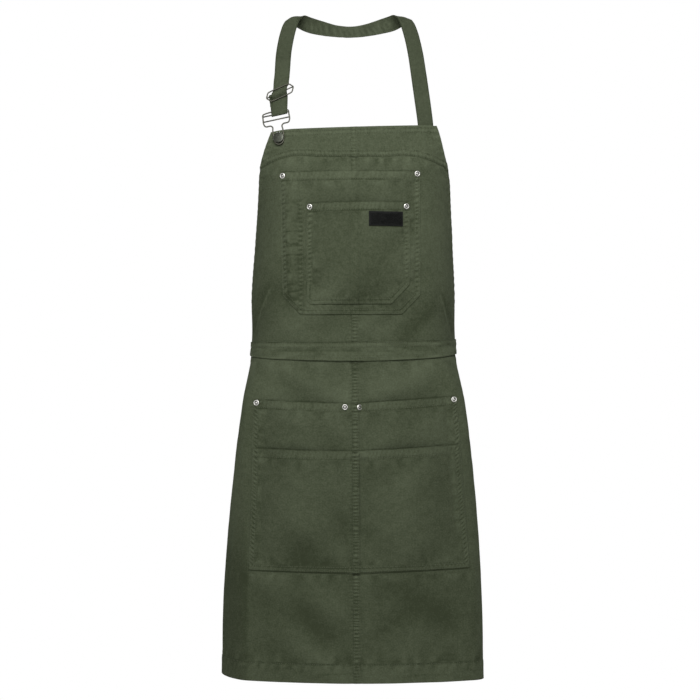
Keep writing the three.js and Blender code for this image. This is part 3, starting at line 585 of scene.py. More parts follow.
def pulled(distance, along, seed):
    away = np.maximum(distance, 0)
    here = ease(noise(along, 0, PULLED_SHADE["patches"], seed), -0.1, 0.4) * ease(distance, -3, 1)
    crease = creases(away * 0.15, along, PULLED_SHADE["length"], seed + 1) * bell(away, 0, PULLED_SHADE["reach"])
    return PULLED_SHADE["tone"] * crease * here


DENT = 0.7  # the cloth is pulled in by this much under a rivet
DENT_WIDTH = 7


def rivet_dents(pocket_name, s, z):
    spots = [(rivet_s, rivet_z) for _, rivet_s, rivet_z, on in RIVETS if on == pocket_name]
    return sum(DENT * bell(np.hypot(s - at_s, z - at_z), 0, DENT_WIDTH) for at_s, at_z in spots)


# Grid lines from a low edge to a high one: a fine zone of fixed width at each edge and even steps between
def lines(span, step, low_zone=1.2, high_zone=1.2, fine=1.2):
    def zone(width):
        return np.concatenate([[0, EDGE_ROUND], np.arange(fine, width - fine / 3, fine)])

    low = zone(low_zone)
    high = zone(high_zone)
    middle = np.linspace(0, 1, max(round((span - low_zone - high_zone) / step), 2) + 1)
    part = np.concatenate([0 * low, middle, 0 * high + 1])
    shift = np.concatenate([low - low_zone, 0 * middle, (high_zone - high)[::-1]])
    return {"part": part, "shift": shift, "low": low_zone, "high": high_zone}


def place(line, low, high, across):
    part, shift = (line[key][None, :] if across else line[key][:, None] for key in ("part", "shift"))
    return mix(low + line["low"], high - line["high"], part) + shift


# Cloth coordinates of a panel's grid, whose edges may slant and curve
GRID_ROUNDS = 8


def cloth_grid(columns, rows, left, right, low, high):
    s = np.zeros((len(rows["part"]), len(columns["part"])))
    z = place(rows, low(s), high(s), False)
    for _ in range(GRID_ROUNDS):
        s = place(columns, left(z), right(z), True)
        z = place(rows, low(s), high(s), False)
    return s, z


# Materials
def new_material(name):
    material = bpy.data.materials.new(name)
    material.use_nodes = True
    return material, material.node_tree, material.node_tree.nodes["Principled BSDF"]


def fill(tree, socket, value):
    if isinstance(value, bpy.types.NodeSocket):
        tree.links.new(value, socket)
    else:
        socket.default_value = value


def fill_inputs(tree, node, values):
    for key, value in values.items():
        fill(tree, node.inputs[key], value)


def add_node(tree, kind, inputs=None, **settings):
    node = tree.nodes.new(kind)
    for key, value in settings.items():
        setattr(node, key, value)
    fill_inputs(tree, node, inputs or {})
    return node


def maths(tree, operation, first, second=0.0):
    return add_node(tree, "ShaderNodeMath", {0: first, 1: second}, operation=operation).outputs[0]


# Sum of sockets, each times its weight
def weighted(tree, *parts):
    total = None
    for socket, weight in parts:
        part = maths(tree, "MULTIPLY", socket, weight)
        total = part if total is None else maths(tree, "ADD", total, part)
    return total


def attribute_node(tree, name, output):
    return add_node(tree, "ShaderNodeAttribute", attribute_name=name).outputs[output]


def object_spot(tree):
    return add_node(tree, "ShaderNodeTexCoord").outputs["Object"]


def noise_node(tree, vector, scale, detail=2.0, roughness=0.5):
    values = {"Vector": vector, "Scale": scale, "Detail": detail, "Roughness": roughness}
    return add_node(tree, "ShaderNodeTexNoise", values).outputs["Fac"]


def bump_node(tree, height, strength, distance):
    values = {"Strength": strength, "Distance": distance, "Height": height}
    return add_node(tree, "ShaderNodeBump", values).outputs["Normal"]


def blend_colours(tree, factor, first, second):
    node = add_node(tree, "ShaderNodeMix", data_type="RGBA", clamp_factor=True)
    for socket, value in (("Factor_Float", factor), ("A_Color", first), ("B_Color", second)):
        fill(tree, next(item for item in node.inputs if item.identifier == socket), value)
    return next(item for item in node.outputs if item.identifier == "Result_Color")


# Cotton twill: diagonal lines, a mottled dye, paler on ridges as wear and painted highlight, darker in grooves
# as painted shade, and fine fuzz
TWILL_SLOPE = 0.8
TWILL_WOBBLE = 0.0006
DARKEST_TONE_SUM = 0.575  # the sum of dye tones and painted light and shade at which the cloth is darkest


def twill_material(name, dark, light, line_width=1.05):
    material, tree, shader = new_material(name)
    spot = attribute_node(tree, "cloth", "Vector")
    relief = attribute_node(tree, "relief", "Fac")
    axes = add_node(tree, "ShaderNodeSeparateXYZ", {0: spot}).outputs
    wobble = noise_node(tree, spot, 900, 1)
    diagonal = weighted(tree, (axes[0], 1), (axes[1], TWILL_SLOPE), (wobble, TWILL_WOBBLE))
    twill = maths(tree, "SINE", maths(tree, "MULTIPLY", diagonal, 2 * math.pi / (line_width * MM)))
    slubs = noise_node(tree, spot, 420, 3, 0.6)
    mottle = noise_node(tree, spot, 130, 3, 0.6)
    fade = noise_node(tree, spot, 14)
    # The relief attribute brings in the panels' painted light and shade
    tone = weighted(tree, (slubs, 1.1), (mottle, 0.7), (fade, 0.35), (twill, 0.05), (relief, 0.5))
    height = weighted(tree, (twill, 0.3), (slubs, 1.6))
    fill_inputs(tree, shader, {
        "Base Color": blend_colours(tree, maths(tree, "SUBTRACT", tone, DARKEST_TONE_SUM), dark, light),
        "Normal": bump_node(tree, height, 0.55, 0.0004),
        "Roughness": 0.9,
        "Specular IOR Level": 0.0,
        "Sheen Weight": 0.06,
        "Sheen Roughness": 0.5,
        "Sheen Tint": (0.8, 0.9, 0.65, 1),
    })
    return material


def thread_material(name, dark, light, shine=0.25):
    material, tree, shader = new_material(name)
    fibre = noise_node(tree, object_spot(tree), 2600, 2, 0.6)
    fill_inputs(tree, shader, {
        "Base Color": blend_colours(tree, fibre, dark, light),
        "Normal": bump_node(tree, fibre, 0.4, 0.0002),
        "Roughness": 0.75,
        "Specular IOR Level": shine,
    })
    return material


# Plated metal, dull in its recesses
CLEAN = 0.15  # brightens the haze where the metal isn't darkened


def metal_material(name, dull, bright, low_roughness, high_roughness):
    material, tree, shader = new_material(name)
    haze = noise_node(tree, object_spot(tree), 700, 3, 0.6)
    clean = maths(tree, "SUBTRACT", maths(tree, "ADD", haze, CLEAN), attribute_node(tree, "darkening", "Fac"))
    rough = add_node(tree, "ShaderNodeMapRange", {0: haze, 3: low_roughness, 4: high_roughness})
    fill_inputs(tree, shader, {
        "Base Color": blend_colours(tree, clean, dull, bright),
        "Normal": bump_node(tree, haze, 0.12, 0.0001),
        "Roughness": rough.outputs[0],
        "Metallic": 1,
    })
    return material


TWILL = twill_material("olive_twill", (0.0445, 0.0542, 0.0306, 1), (0.1015, 0.1192, 0.0748, 1))
WEBBING = twill_material("olive_webbing", (0.0372, 0.0452, 0.0262, 1), (0.079, 0.0925, 0.0585, 1), 1.4)
OLIVE_THREAD = thread_material("olive_thread", (0.053, 0.064, 0.036, 1), (0.111, 0.130, 0.079, 1))
BLACK_THREAD = thread_material("black_thread", (0.004, 0.005, 0.004, 1), (0.012, 0.013, 0.012, 1), 0.15)
BLACK_PILE = thread_material("black_pile", (0.0036, 0.004, 0.0036, 1), (0.0114, 0.012, 0.0114, 1), 0.12)
NICKEL = metal_material("nickel", (0.05, 0.05, 0.045, 1), (0.72, 0.71, 0.67, 1), 0.2, 0.36)
WIRE = metal_material("wire", (0.024, 0.025, 0.018, 1), (0.1, 0.099, 0.079, 1), 0.45, 0.6)
GUNMETAL = metal_material("gunmetal", (0.019, 0.021, 0.016, 1), (0.08, 0.083, 0.07, 1), 0.25, 0.4)


# Meshes
PIECES = []
PATTERN_STEP = 37.0  # between the weaves of two pieces
BACK_PATTERN = [0, 0, 20 * MM]  # from the weave of a face to that of its back


def make_piece(name, points, faces, material, nodes=(), attributes=None):
    mesh = bpy.data.meshes.new(name)
    mesh.from_pydata((np.asarray(points) * MM).tolist(), [], faces)
    for key, (kind, values) in (attributes or {}).items():
        layer = mesh.attributes.new(key, kind, "POINT")
        field = "vector" if kind == "FLOAT_VECTOR" else "value"
        layer.data.foreach_set(field, np.asarray(values, np.float32).ravel())
    mesh.shade_smooth()
    mesh.materials.append(material)
    piece = bpy.data.objects.new(name, mesh)
    bpy.context.scene.collection.objects.link(piece)
    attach(piece, "root")
    if nodes:
        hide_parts(*nodes)
    PIECES.append(piece)
    return piece


# The cloth's own coordinates on both faces, and where each is paler or darker: painted light and shade, with
# some wear on ridges
def cloth_attributes(across, along, pattern, face_tone, back_tone):
    spot = np.stack([across, along, 0 * across + pattern], -1).reshape(-1, 3) * MM
    return {
        "cloth": ("FLOAT_VECTOR", np.concatenate([spot, spot + BACK_PATTERN])),
        "relief": ("FLOAT", np.concatenate([face_tone.ravel(), back_tone.ravel()])),
    }


# Faces of a closed sheet over a grid: its outer face, its inner face and the rim between them
def sheet_faces(row_count, column_count):
    index = np.arange(row_count * column_count).reshape(row_count, column_count)
    inner = index + row_count * column_count
    quads = np.stack([index[:-1, :-1], index[:-1, 1:], index[1:, 1:], index[1:, :-1]], -1).reshape(-1, 4)
    back = np.stack([inner[:-1, :-1], inner[1:, :-1], inner[1:, 1:], inner[:-1, 1:]], -1).reshape(-1, 4)

    def rim(grid):
        return np.concatenate([grid[0, :-1], grid[:-1, -1], grid[-1, :0:-1], grid[:0:-1, 0]])

    outer_rim = rim(index)
    inner_rim = rim(inner)
    sides = np.stack([outer_rim, inner_rim, np.roll(inner_rim, -1), np.roll(outer_rim, -1)], -1)
    return np.concatenate([quads, back, sides]).tolist()


# Faces of a tube of rings, closed on itself or capped at both ends
def tube_faces(ring_count, sides, closed, first=0):
    faces = []
    for ring in range(ring_count if closed else ring_count - 1):
        low = first + ring * sides
        high = first + (ring + 1) % ring_count * sides
        for corner in range(sides):
            following = (corner + 1) % sides
            faces.append((low + corner, low + following, high + following, high + corner))
    if not closed:
        faces.append(tuple(range(first + sides - 1, first - 1, -1)))
        last = first + (ring_count - 1) * sides
        faces.append(tuple(range(last, last + sides)))
    return faces


def unit(vectors):
    return vectors / np.linalg.norm(vectors, axis=-1, keepdims=True)


# A ring of points round each centre, from two directions across it
def rings_round(centres, right, up, radius, sides):
    turn = 2 * np.pi * np.arange(sides)[None, :, None] / sides
    return centres[:, None, :] + radius * (np.cos(turn) * right[:, None, :] + np.sin(turn) * up[:, None, :])


# Many short tubes as one piece, from the rings of each
def make_tubes(name, tubes, material):
    count, ring_count, sides, _ = tubes.shape
    first = np.arange(count)[:, None] * ring_count * sides
    faces = []
    for face in tube_faces(ring_count, sides, False):
        faces.extend((first + np.array(face)).tolist())
    return make_piece(name, tubes.reshape(-1, 3), faces, material)


# Softens the outline of a sheet: its outermost points come in from both faces
def round_edges(inner, outer):
    edge = np.zeros_like(inner)
    edge[[0, -1], :] = 1
    edge[:, [0, -1]] = 1
    pinch = EDGE_PINCH * (outer - inner) * edge
    return inner + pinch, outer - pinch


def grid_area(s, z):
    across = np.stack([s[1:, 1:] - s[:-1, :-1], z[1:, 1:] - z[:-1, :-1]])
    back = np.stack([s[1:, :-1] - s[:-1, 1:], z[1:, :-1] - z[:-1, 1:]])
    return 0.5 * np.abs(across[0] * back[1] - across[1] * back[0]).sum()


# A panel of cloth on the worn form. edges are its left, right, low and high edge, inner gives the lift of its
# back, relief what its face adds to one layer of cloth, turned the depth of a hem turned to the inside, and
# shade the painted light and shade laid on its colour. Returns a function for points and outward directions of
# its face.
def make_panel(name, columns, rows, edges, inner, relief, turned=None, shade=None, wall=CLOTH, material=TWILL):
    s, z = cloth_grid(columns, rows, *edges)
    soft = softness(s, z)
    height = relief(s, z)
    back = inner(s, z) + soft
    face = back + wall + height
    if turned is not None:
        back = back - turned(s, z)
    back, face = round_edges(back, face)
    points = np.concatenate([cloth_points(s, z, lift)[0].reshape(-1, 3) for lift in (face, back)])
    # Painted light and shade from the relief, ridges paler partly as wear, and from the folds, ridges paler
    # and hollows darker
    tone = height + FOLD_LIGHT_AND_SHADE * (soft + folds(s, z))
    if shade is not None:
        tone = tone + shade(s, z)
    attributes = cloth_attributes(s, z, len(PIECES) * PATTERN_STEP, tone, 0 * tone)
    piece = make_piece(name + "_cloth", points, sheet_faces(*s.shape), material, (name,), attributes)
    size = (round(np.ptp(s) * MM, 3), round(np.ptp(z) * MM, 3))
    area = min(grid_area(s, z) * MM * MM, size[0] * size[1])

    def surface(at_s, at_z, lift=0):
        base = inner(at_s, at_z) + softness(at_s, at_z) + wall + relief(at_s, at_z)
        return cloth_points(at_s, at_z, base + lift)

    return surface


# Thread: rings of a stitch by their place along it, size and lift
STITCH_RINGS = ((0.0, 0.55, -0.3), (0.25, 1.0, 0.1), (0.75, 1.0, 0.1), (1.0, 0.55, -0.3))
STITCH_SIDES = 4


# Rings of points round each stitch of a row sewn through a surface along a path in its own coordinates
def stitch_row(surface, path, pitch=STITCH_PITCH, radius=THREAD):
    path = np.asarray(path, float)
    length = np.concatenate([[0], np.cumsum(np.hypot(*np.diff(path, axis=0).T))])
    count = max(int(length[-1] / pitch), 1)
    starts = np.arange(count) * length[-1] / count
    reach = length[-1] / count - STITCH_GAP
    rings = []
    for along, size, lift in STITCH_RINGS:
        at = starts + STITCH_GAP / 2 + along * reach
        spot = (np.interp(at, length, axis) for axis in path.T)
        rings.append((*surface(*spot, lift * radius), size * radius))
    run = unit(rings[-1][0] - rings[0][0])
    side = unit(np.cross(run, rings[1][1]))
    out = np.cross(side, run)
    return np.stack([rings_round(centre, side, out, size, STITCH_SIDES) for centre, _, size in rings], axis=1)


def make_stitches(name, rows, material=OLIVE_THREAD):
    return make_tubes(name, np.concatenate(rows), material)


# Panels
FINE = 1.1  # grid step across a seam
BUMP_STEP = 1.5  # grid step along one
PLAIN_STEP = 3.2


def level(value):
    return lambda at: 0 * at + value


# Relief of the lapped centre seam on a right half, and of the cloth beside it on a left half
CENTRE_ROWS = (1.6, 7.9)
CENTRE_BORDER = 9
CENTRE_BESIDE = 0.35  # share of its puckers that shows on the left half
CALM = 0.6  # its puckers are weaker by this much on the bib's stiff top
CALM_TOP = (-300, -240)


def calm(z):
    return 1 - CALM * ease(z, *CALM_TOP)


def centre_relief(s, z, right_half, seed):
    if right_half:
        return sewn_edge(s - SEAM_LEFT, z, CENTRE_BORDER, CENTRE_PUCKER, CENTRE_ROWS, seed, strength=calm(z))
    return CENTRE_BESIDE * puckers(z, CENTRE_PUCKER, seed) * bell(s, SEAM_LEFT - 2, 3) * calm(z)


HALVES = (
    {"name": "left", "right_half": False, "left": edge_left, "right": level(SEAM_UNDER), "zones": (14, 12)},
    {"name": "right", "right_half": True, "left": level(SEAM_LEFT), "right": edge_right, "zones": (14, 14)},
)
SIDE_HEM = 11
SIDE_HEM_ROW = 9.5
# depths of the painted shade lines along the side hem and the centre seam
SIDE_DARK = 0.6
CENTRE_DARK = 0.5
FOLD_SOFT = 0.5  # a turned hem's cut edge inside falls away over twice this width


def half_lift(s, right_half):
    return lap(s) if right_half else np.zeros_like(s)


def side_distance(s, z, right_half):
    return edge_right(z) - s if right_half else s - edge_left(z)


def side_hem(s, z, right_half, seed):
    distance = side_distance(s, z, right_half)
    height = sewn_edge(distance, z, SIDE_HEM, SIDE_HEM_PUCKER, (SIDE_HEM_ROW,), seed)
    return height + drag(distance - SIDE_HEM, z, SIDE_HEM_DRAG, seed + 3)


# Painted shade lines along the centre seam and the side hem, and painted shade between the centre seam's bumps
def half_shade(s, z, right_half, seed):
    shade = painted_shade_line(side_distance(s, z, right_half) - SIDE_HEM_ROW, z, SIDE_DARK, seed)
    if right_half:
        inside = s - SEAM_LEFT
        shade = shade + sum(painted_shade_line(inside - row, z, CENTRE_DARK, seed + 1) for row in (0, *CENTRE_ROWS))
        shade = shade + calm(z) * painted_valley_shade(inside - CENTRE_BORDER / 2, z, 3.5, CENTRE_PUCKER, seed)
    return shade


# Depth of a hem turned to the inside, by the distance from its folded edge
def turned_hem(distance, depth):
    return STACK * (1 - ease(distance, depth - FOLD_SOFT, depth + FOLD_SOFT))


def turned_side(s, z, right_half):
    return turned_hem(side_distance(s, z, right_half), SIDE_HEM)


def vertical(s, low, high):
    z = np.arange(low, high, BUMP_STEP)
    return np.stack([0 * z + s, z], -1)


def across_path(height, left, right):
    s = np.arange(left, right, BUMP_STEP)
    return np.stack([s, height(s)], -1)


# Stitches of a half along its side hem
def side_stitches(surface, right_half, low, high):
    z = np.arange(low, high, BUMP_STEP)
    s = edge_right(z) - SIDE_HEM_ROW if right_half else edge_left(z) + SIDE_HEM_ROW
    return [stitch_row(surface, np.stack([s, z], -1))]


# Stitches down the centre seam, on right halves only
def centre_stitches(surface, right_half, low, high):
    rows = CENTRE_ROWS if right_half else ()
    return [stitch_row(surface, vertical(SEAM_LEFT + row, low, high)) for row in rows]


# Skirt
SKIRT_STEP = PLAIN_STEP * 1.6
HEM_RISE = 0.25
# depth of the painted shade line along the hem's stitches
HEM_DARK = 1
# painted shade of thin creases in the hem
HEM_CREASE_SHADE = 0.5
# Painted light and shade on the skirt, each with the heights between which it comes or goes, and distances
# outside the pockets
# painted shade, darker below the pockets
BELOW_SHADE = {"tone": -0.21, "heights": (-850, -780)}
# painted light on the left half above the pockets
ABOVE_LIGHT = {"tone": 0.17, "heights": (-590, -560)}
# painted light on the rims beyond the pockets' sides
RIM_LIGHT = {"left": 0.4, "right": 0.45, "heights": (-620, -540), "left_heights": (-830, -690),
            "outside": (6, 40)}
# painted shade on the strip where the left side turns away from the light
AWAY_SHADE = {"tone": -0.5, "heights": (-850, -690), "outside": (0.5, 3)}


def make_skirt(half, seed):
    right_half = half["right_half"]
    back = POCKETS["back_" + half["name"]]

    def inner(s, z):
        behind_bib = STACK * ease(z, WAIST - 12, WAIST - 5)
        return half_lift(s, right_half) - behind_bib - sunk(back, s, z)

    def relief(s, z):
        hem = z - HEM_EDGE
        height = centre_relief(s, z, right_half, seed) * uncovered(z, back["low"], back["high"])
        height = height + side_hem(s, z, right_half, seed + 1)
        height = height + puckers(s + 0.2 * hem, SKIRT_HEM_PUCKER, seed + 2) * bell(hem, HEM_DEPTH - 3, 7)
        height = height - GROOVE * bell(hem, HEM_DEPTH, GROOVE_WIDTH)
        height = height + HEM_RISE * (1 - ease(hem, HEM_DEPTH - 1, HEM_DEPTH + 2))
        height = height * (1 - ease(z, BAND["low"] - 2, BAND["low"] + 4))
        height = height + drag(BAND["low"] - z, s, BAND_DRAG, seed + 3)
        height = height + drag(hem - HEM_DEPTH, s, SKIRT_HEM_DRAG, seed + 7)
        return height + drag(back["low"] - z, s, POCKET_FOOT_DRAG, seed + 8)

    def shade(s, z):
        left, right = pocket_edges(back, z)
        outside = s - right if right_half else left - s
        tone = half_shade(s, z, right_half, seed) + mouth_shadow_line(back, s, z, seed + 6)
        tone = tone + painted_shade_line(z - HEM_LINE, s, HEM_DARK, seed + 4)
        hem_middle = bell(z, (HEM_LINE + HEM_EDGE) / 2, 7)
        tone = tone + HEM_CREASE_SHADE * creases(s * 0.12, z, 13, seed + 5) * hem_middle
        rim = RIM_LIGHT[half["name"]] * ease(outside, *RIM_LIGHT["outside"])
        rim = rim * (1 - ease(z, *RIM_LIGHT["heights"]))
        if not right_half:
            rim = rim * ease(z, *RIM_LIGHT["left_heights"])
            away = ease(outside, *AWAY_SHADE["outside"]) * (1 - ease(z, *AWAY_SHADE["heights"]))
            tone = tone + AWAY_SHADE["tone"] * away + ABOVE_LIGHT["tone"] * ease(z, *ABOVE_LIGHT["heights"])
        return tone + rim + BELOW_SHADE["tone"] * (1 - ease(z, *BELOW_SHADE["heights"]))

    def turned(s, z):
        hem = STACK * (1 - ease(z, HEM_LINE - 1, HEM_LINE + 1))
        return np.maximum(turned_side(s, z, right_half), hem)

    name = "skirt_" + half["name"]
    edges = (half["left"], half["right"], level(HEM_EDGE), level(WAIST + WAIST_LAP))
    surface = make_panel(
        name, lines(296, SKIRT_STEP, *half["zones"], FINE), lines(504, BUMP_STEP), edges, inner, relief,
        turned, shade)
    rows = side_stitches(surface, right_half, HEM_EDGE + 8, BAND["low"])
    rows += centre_stitches(surface, right_half, HEM_EDGE + 4, BAND["low"])
    ends = (half["left"](HEM_LINE) + SIDE_HEM, half["right"](HEM_LINE) - 2)
    rows.append(stitch_row(surface, across_path(level(HEM_LINE), *ends)))
    make_stitches(name + "_stitches", rows)


# Bib
BIB_STITCHES = (-440, -222)  # tops of the centre seam's and the side hem's stitches
# Creases at the bib's sides, from s, z to s, z, with a painted highlight along each and painted shade beyond
# it, and streaks of painted fold light and shade beside them with a width and a tone
PALE_CREASES = [(-124, -395, -184, -482), (134, -408, 172, -478)]
CREASE_LIGHT_AND_SHADE = (0.8, -0.45)  # painted highlight on a crease and painted shade beyond it
BIB_FOLD_SHADING = [
    (124, -434, 76, -486, 11, -0.7), (80, -446, 38, -472, 9, 0.35), (-120, -440, -70, -478, 12, 0.25),
]
# Painted light on the side to the right of the large pocket
BIB_SIDE_LIGHT = {"tone": 0.27, "outside": (8, 40), "heights": (-460, -420)}


def make_bib(half, seed):
    right_half = half["right_half"]
    large = POCKETS["large"]

    def inner(s, z):
        pressed = LAP_SINK * ease(z - yoke_low(s), -5, 2)
        return half_lift(s, right_half) - pressed - sunk(large, s, z)

    def relief(s, z):
        below_yoke = yoke_low(s) - z
        height = centre_relief(s, z, right_half, seed) * uncovered(z, large["low"], large["high"])
        height = height + side_hem(s, z, right_half, seed + 1)
        height = height * ease(below_yoke, -3, 1) * ease(z, BAND["high"] - 4, BAND["high"] + 1)
        return height + drag(below_yoke, s, YOKE_DRAG, seed + 2)

    def shade(s, z):
        tone = half_shade(s, z, right_half, seed) + mouth_shadow_line(large, s, z, seed + 3)
        for from_s, from_z, to_s, to_z in PALE_CREASES:
            middle = mix(to_s, from_s, share(z, to_z, from_z))
            seen = ease(z, to_z, to_z + 12) * (1 - ease(z, from_z - 15, from_z))
            beyond = middle - s if from_s < 0 else s - middle
            dark_side = ease(beyond, 1, 5) * (1 - ease(beyond, 8, 40))
            tone = tone + (CREASE_LIGHT_AND_SHADE[0] * bell(beyond, 0, 1.8) + CREASE_LIGHT_AND_SHADE[1] * dark_side) * seen
        for *course, streak_tone in BIB_FOLD_SHADING:
            tone = tone + streak_tone * streak(s, z, *course)
        side = ease(s - large["right_top"], *BIB_SIDE_LIGHT["outside"]) * ease(z, *BIB_SIDE_LIGHT["heights"])
        return tone + BIB_SIDE_LIGHT["tone"] * side

    def turned(s, z):
        return turned_side(s, z, right_half)

    name = "bib_" + half["name"]
    edges = (half["left"], half["right"], level(WAIST - BIB_LAP), lambda s: yoke_seam(s) + 3)
    surface = make_panel(
        name, lines(200, PLAIN_STEP, *half["zones"], FINE), lines(300, BUMP_STEP), edges, inner, relief,
        turned, shade)
    rows = side_stitches(surface, right_half, BAND["high"], BIB_STITCHES[1])
    rows += centre_stitches(surface, right_half, BAND["high"], BIB_STITCHES[0])
    make_stitches(name + "_stitches", rows)


# Yoke
YOKE_ROWS = (1.8, 9)
YOKE_BORDER = 10.5
BIB_HEM = 12
BIB_HEM_ROWS = (4.4, 10.8)
# depth of the painted shade lines along the top hem's rows of stitches
BIB_HEM_DARK = 0.8
YOKE_DARK = (0.1, 0.13)  # depth of its painted shade lines at the edge, and more for every millimetre above it
YOKE_UNEVEN = 0.4  # its lower edge wanders by this much
EDGE_THIN = 0.85  # the yoke's pressed lower edge
EDGE_THIN_SIDES = 0.2  # flatter still towards the sides
EDGE_THIN_FROM = (70, 115)
# Ends of the low and high rows on each half, and the start of the side hem's row
YOKE_STITCHES = {"left": (-140, -118), "right": (140, 119), "side": -215}


def make_yoke(half, seed):
    right_half = half["right_half"]

    def low(s):
        return yoke_low(s) + YOKE_UNEVEN * noise(s, 0, 6, seed + 8)

    def above_lap(s, z):
        return ease(z - yoke_seam(s), 2, 7)

    def inner(s, z):
        over_bib = (STACK - LAP_SINK + lap_below(s)) * (1 - above_lap(s, z))
        return half_lift(s, right_half) + over_bib

    def relief(s, z):
        height = centre_relief(s, z, right_half, seed + 4) + side_hem(s, z, right_half, seed + 5)
        seam = sewn_edge(z - low(s), s + 0.2 * z, YOKE_BORDER, YOKE_PUCKER, YOKE_ROWS, seed + 6)
        hem = sewn_edge(bib_top(s) - z, s, BIB_HEM, EDGE_PUCKER, BIB_HEM_ROWS, seed + 7)
        thin = EDGE_THIN + EDGE_THIN_SIDES * ease(np.abs(s), *EDGE_THIN_FROM)
        return height + seam + hem - thin * (1 - ease(z - low(s), 0, 5))

    def shade(s, z):
        tone = half_shade(s, z, right_half, seed + 4)
        for row in YOKE_ROWS:
            tone = tone + painted_shade_line(z - low(s) - row, s, YOKE_DARK[1] * row + YOKE_DARK[0], seed + 10)
        for row in BIB_HEM_ROWS:
            tone = tone + painted_shade_line(bib_top(s) - z - row, s, BIB_HEM_DARK, seed + 11)
        return tone

    def turned(s, z):
        top = turned_hem(bib_top(s) - z, BIB_HEM)
        return np.maximum(turned_side(s, z, right_half) * above_lap(s, z), top)

    name = "yoke_" + half["name"]
    edges = (half["left"], half["right"], low, bib_top)
    surface = make_panel(
        name, lines(150, 1.7, *half["zones"], FINE), lines(48, 1.3, 12, 13, 0.9), edges, inner, relief,
        turned, shade)
    low_end, high_end = YOKE_STITCHES[half["name"]]

    def row_of_stitches(height, end):
        inner_end = SEAM_LEFT + 1 if right_half else SEAM_LEFT - 1
        return stitch_row(surface, across_path(height, *sorted((inner_end, end))))

    rows = [row_of_stitches(lambda s: low(s) + row, low_end) for row in YOKE_ROWS]
    rows += [row_of_stitches(lambda s: bib_top(s) - row, high_end) for row in BIB_HEM_ROWS]
    rows += side_stitches(surface, right_half, YOKE_STITCHES["side"], BIB_TOP - BIB_HEM)
    rows += centre_stitches(surface, right_half, low(np.zeros(1))[0] + 2, BIB_TOP - 2)
    make_stitches(name + "_stitches", rows)


# Waistband
BAND_WALL = 1.3
BAND_STAND = 1.1  # its lower edge stands off the skirt
BAND_STAND_CENTRE = 1.5  # and more at the centre
BAND_STAND_SIDES = (110, 165)  # and less towards the sides
BAND_BORDER = 7
BAND_ROW = 1.8  # groove of its upper row
BAND_STITCH = 1.9  # and that row's stitches
BAND_SECOND_ROW = 8
BAND_LOW_ROW = 5
BAND_LINES = ((0, 1.6), (BAND_ROW, 0.7), (BAND_SECOND_ROW, 0.5))  # painted shade lines down from its upper edge
# painted shade line along its low row of stitches
BAND_LOW_DARK = 0.3
BAND_CRUMPLE = 0.45
# painted light over the whole band
BAND_LIGHT = 0.12
# painted shade of creases along the band
BAND_CREASE_SHADE = 0.4
BAND_SEED = 171


def make_waistband():
    def low(s):
        rise = np.where(s < 0, BAND["low_rise_left"], BAND["low_rise_right"])
        return BAND["low"] + rise * np.minimum(s / BAND["half_span"], 1) ** 2

    def high(s):
        return BAND["high"] + BAND["tilt"] * s + BAND["high_rise"] * (s / BAND["half_span"]) ** 2

    def inner(s, z):
        free = 1 - share(z, low(s), WAIST + 2)
        stand = BAND_STAND * (1 + 0.5 * noise(s, 0, 38, BAND_SEED)) * (1 - ease(np.abs(s), *BAND_STAND_SIDES))
        return STACK + lap_below(s) + (stand + BAND_STAND_CENTRE * bell(s, 0, 12)) * free**1.5

    def relief(s, z):
        height = sewn_edge(high(s) - z, s, BAND_BORDER, EDGE_PUCKER, (BAND_ROW,), BAND_SEED + 1)
        height = height + BAND_CRUMPLE * noise(s * 0.18, z, 4.5, BAND_SEED + 2)
        length, rise = BAND_EDGE_PUCKER
        return height + rise * bell(z - low(s), 2.5, 2) * bumps(s, length, BAND_SEED + 3)

    def shade(s, z):
        tone = BAND_LIGHT + painted_shade_line(z - low(s) - BAND_LOW_ROW, s, BAND_LOW_DARK, BAND_SEED + 7)
        for seed, (row, depth) in enumerate(BAND_LINES, BAND_SEED + 4):
            tone = tone + painted_shade_line(high(s) - z - row, s, depth, seed)
        return tone + BAND_CREASE_SHADE * creases(s * 0.07, z, 7, BAND_SEED + 8)

    left = float(edge_left(np.array(WAIST)))
    right = float(edge_right(np.array(WAIST)))
    edges = (level(left - BAND["reach"]), level(right + BAND["reach"]), low, high)
    surface = make_panel(
        "waistband", lines(520, 1.9, 2.4, 2.4), lines(29, 1.2, 3, 3, 0.8), edges, inner, relief, shade=shade,
        wall=BAND_WALL)
    heights = (
        lambda s: high(s) - BAND_STITCH, lambda s: high(s) - BAND_SECOND_ROW,
        lambda s: low(s) + BAND_LOW_ROW)
    rows = [stitch_row(surface, across_path(height, left + 3, right - 3)) for height in heights]
    make_stitches("waistband_stitches", rows)


# Pockets
SEWN_ROWS = (1.8, 7.6)
POCKET_BORDER = 8.5
BEADS = 0.66  # share of the border at which its puckers stand highest
BEAD_SPREAD = 0.34
BEAD_HIGHLIGHT = 0.35  # on the bib their tops get a painted highlight
LOW_STRENGTH = 0.3  # of the puckers along the bottom
BEAD_SLANT = {"left": -0.7, "right": 0.7, None: 0.25}
MOUTH_ROW = 1.6  # stitches of the mouth's hem, from its inner edge
PEN_ROWS = (-3, 3)
PEN_PUCKER = (SIDE_PUCKER[0], 1.5)
PEN_CRUMPLE = 0.7
# painted shade of the creases on the pen strip
PEN_CREASE_SHADE = 0.4
# painted shadow along the mouth's top edge
MOUTH_EDGE_DARK = 1.2
MOUTH_HEM_LINE = {"up": 0.8, "depth": 1.25, "width": 1.2}  # painted shadow line above its inner edge
FOOT_LINES = ((0, 1.4, 0.9), (6.6, 1.1, 1.3))  # painted shadow lines along the bottom: distance, depth and width
FOOT_CALM = 0.8  # the painted shade and highlights of puckers are weaker there by this much
FOOT_FADE = 12  # height over which the bottom's looks give way to those of the sides
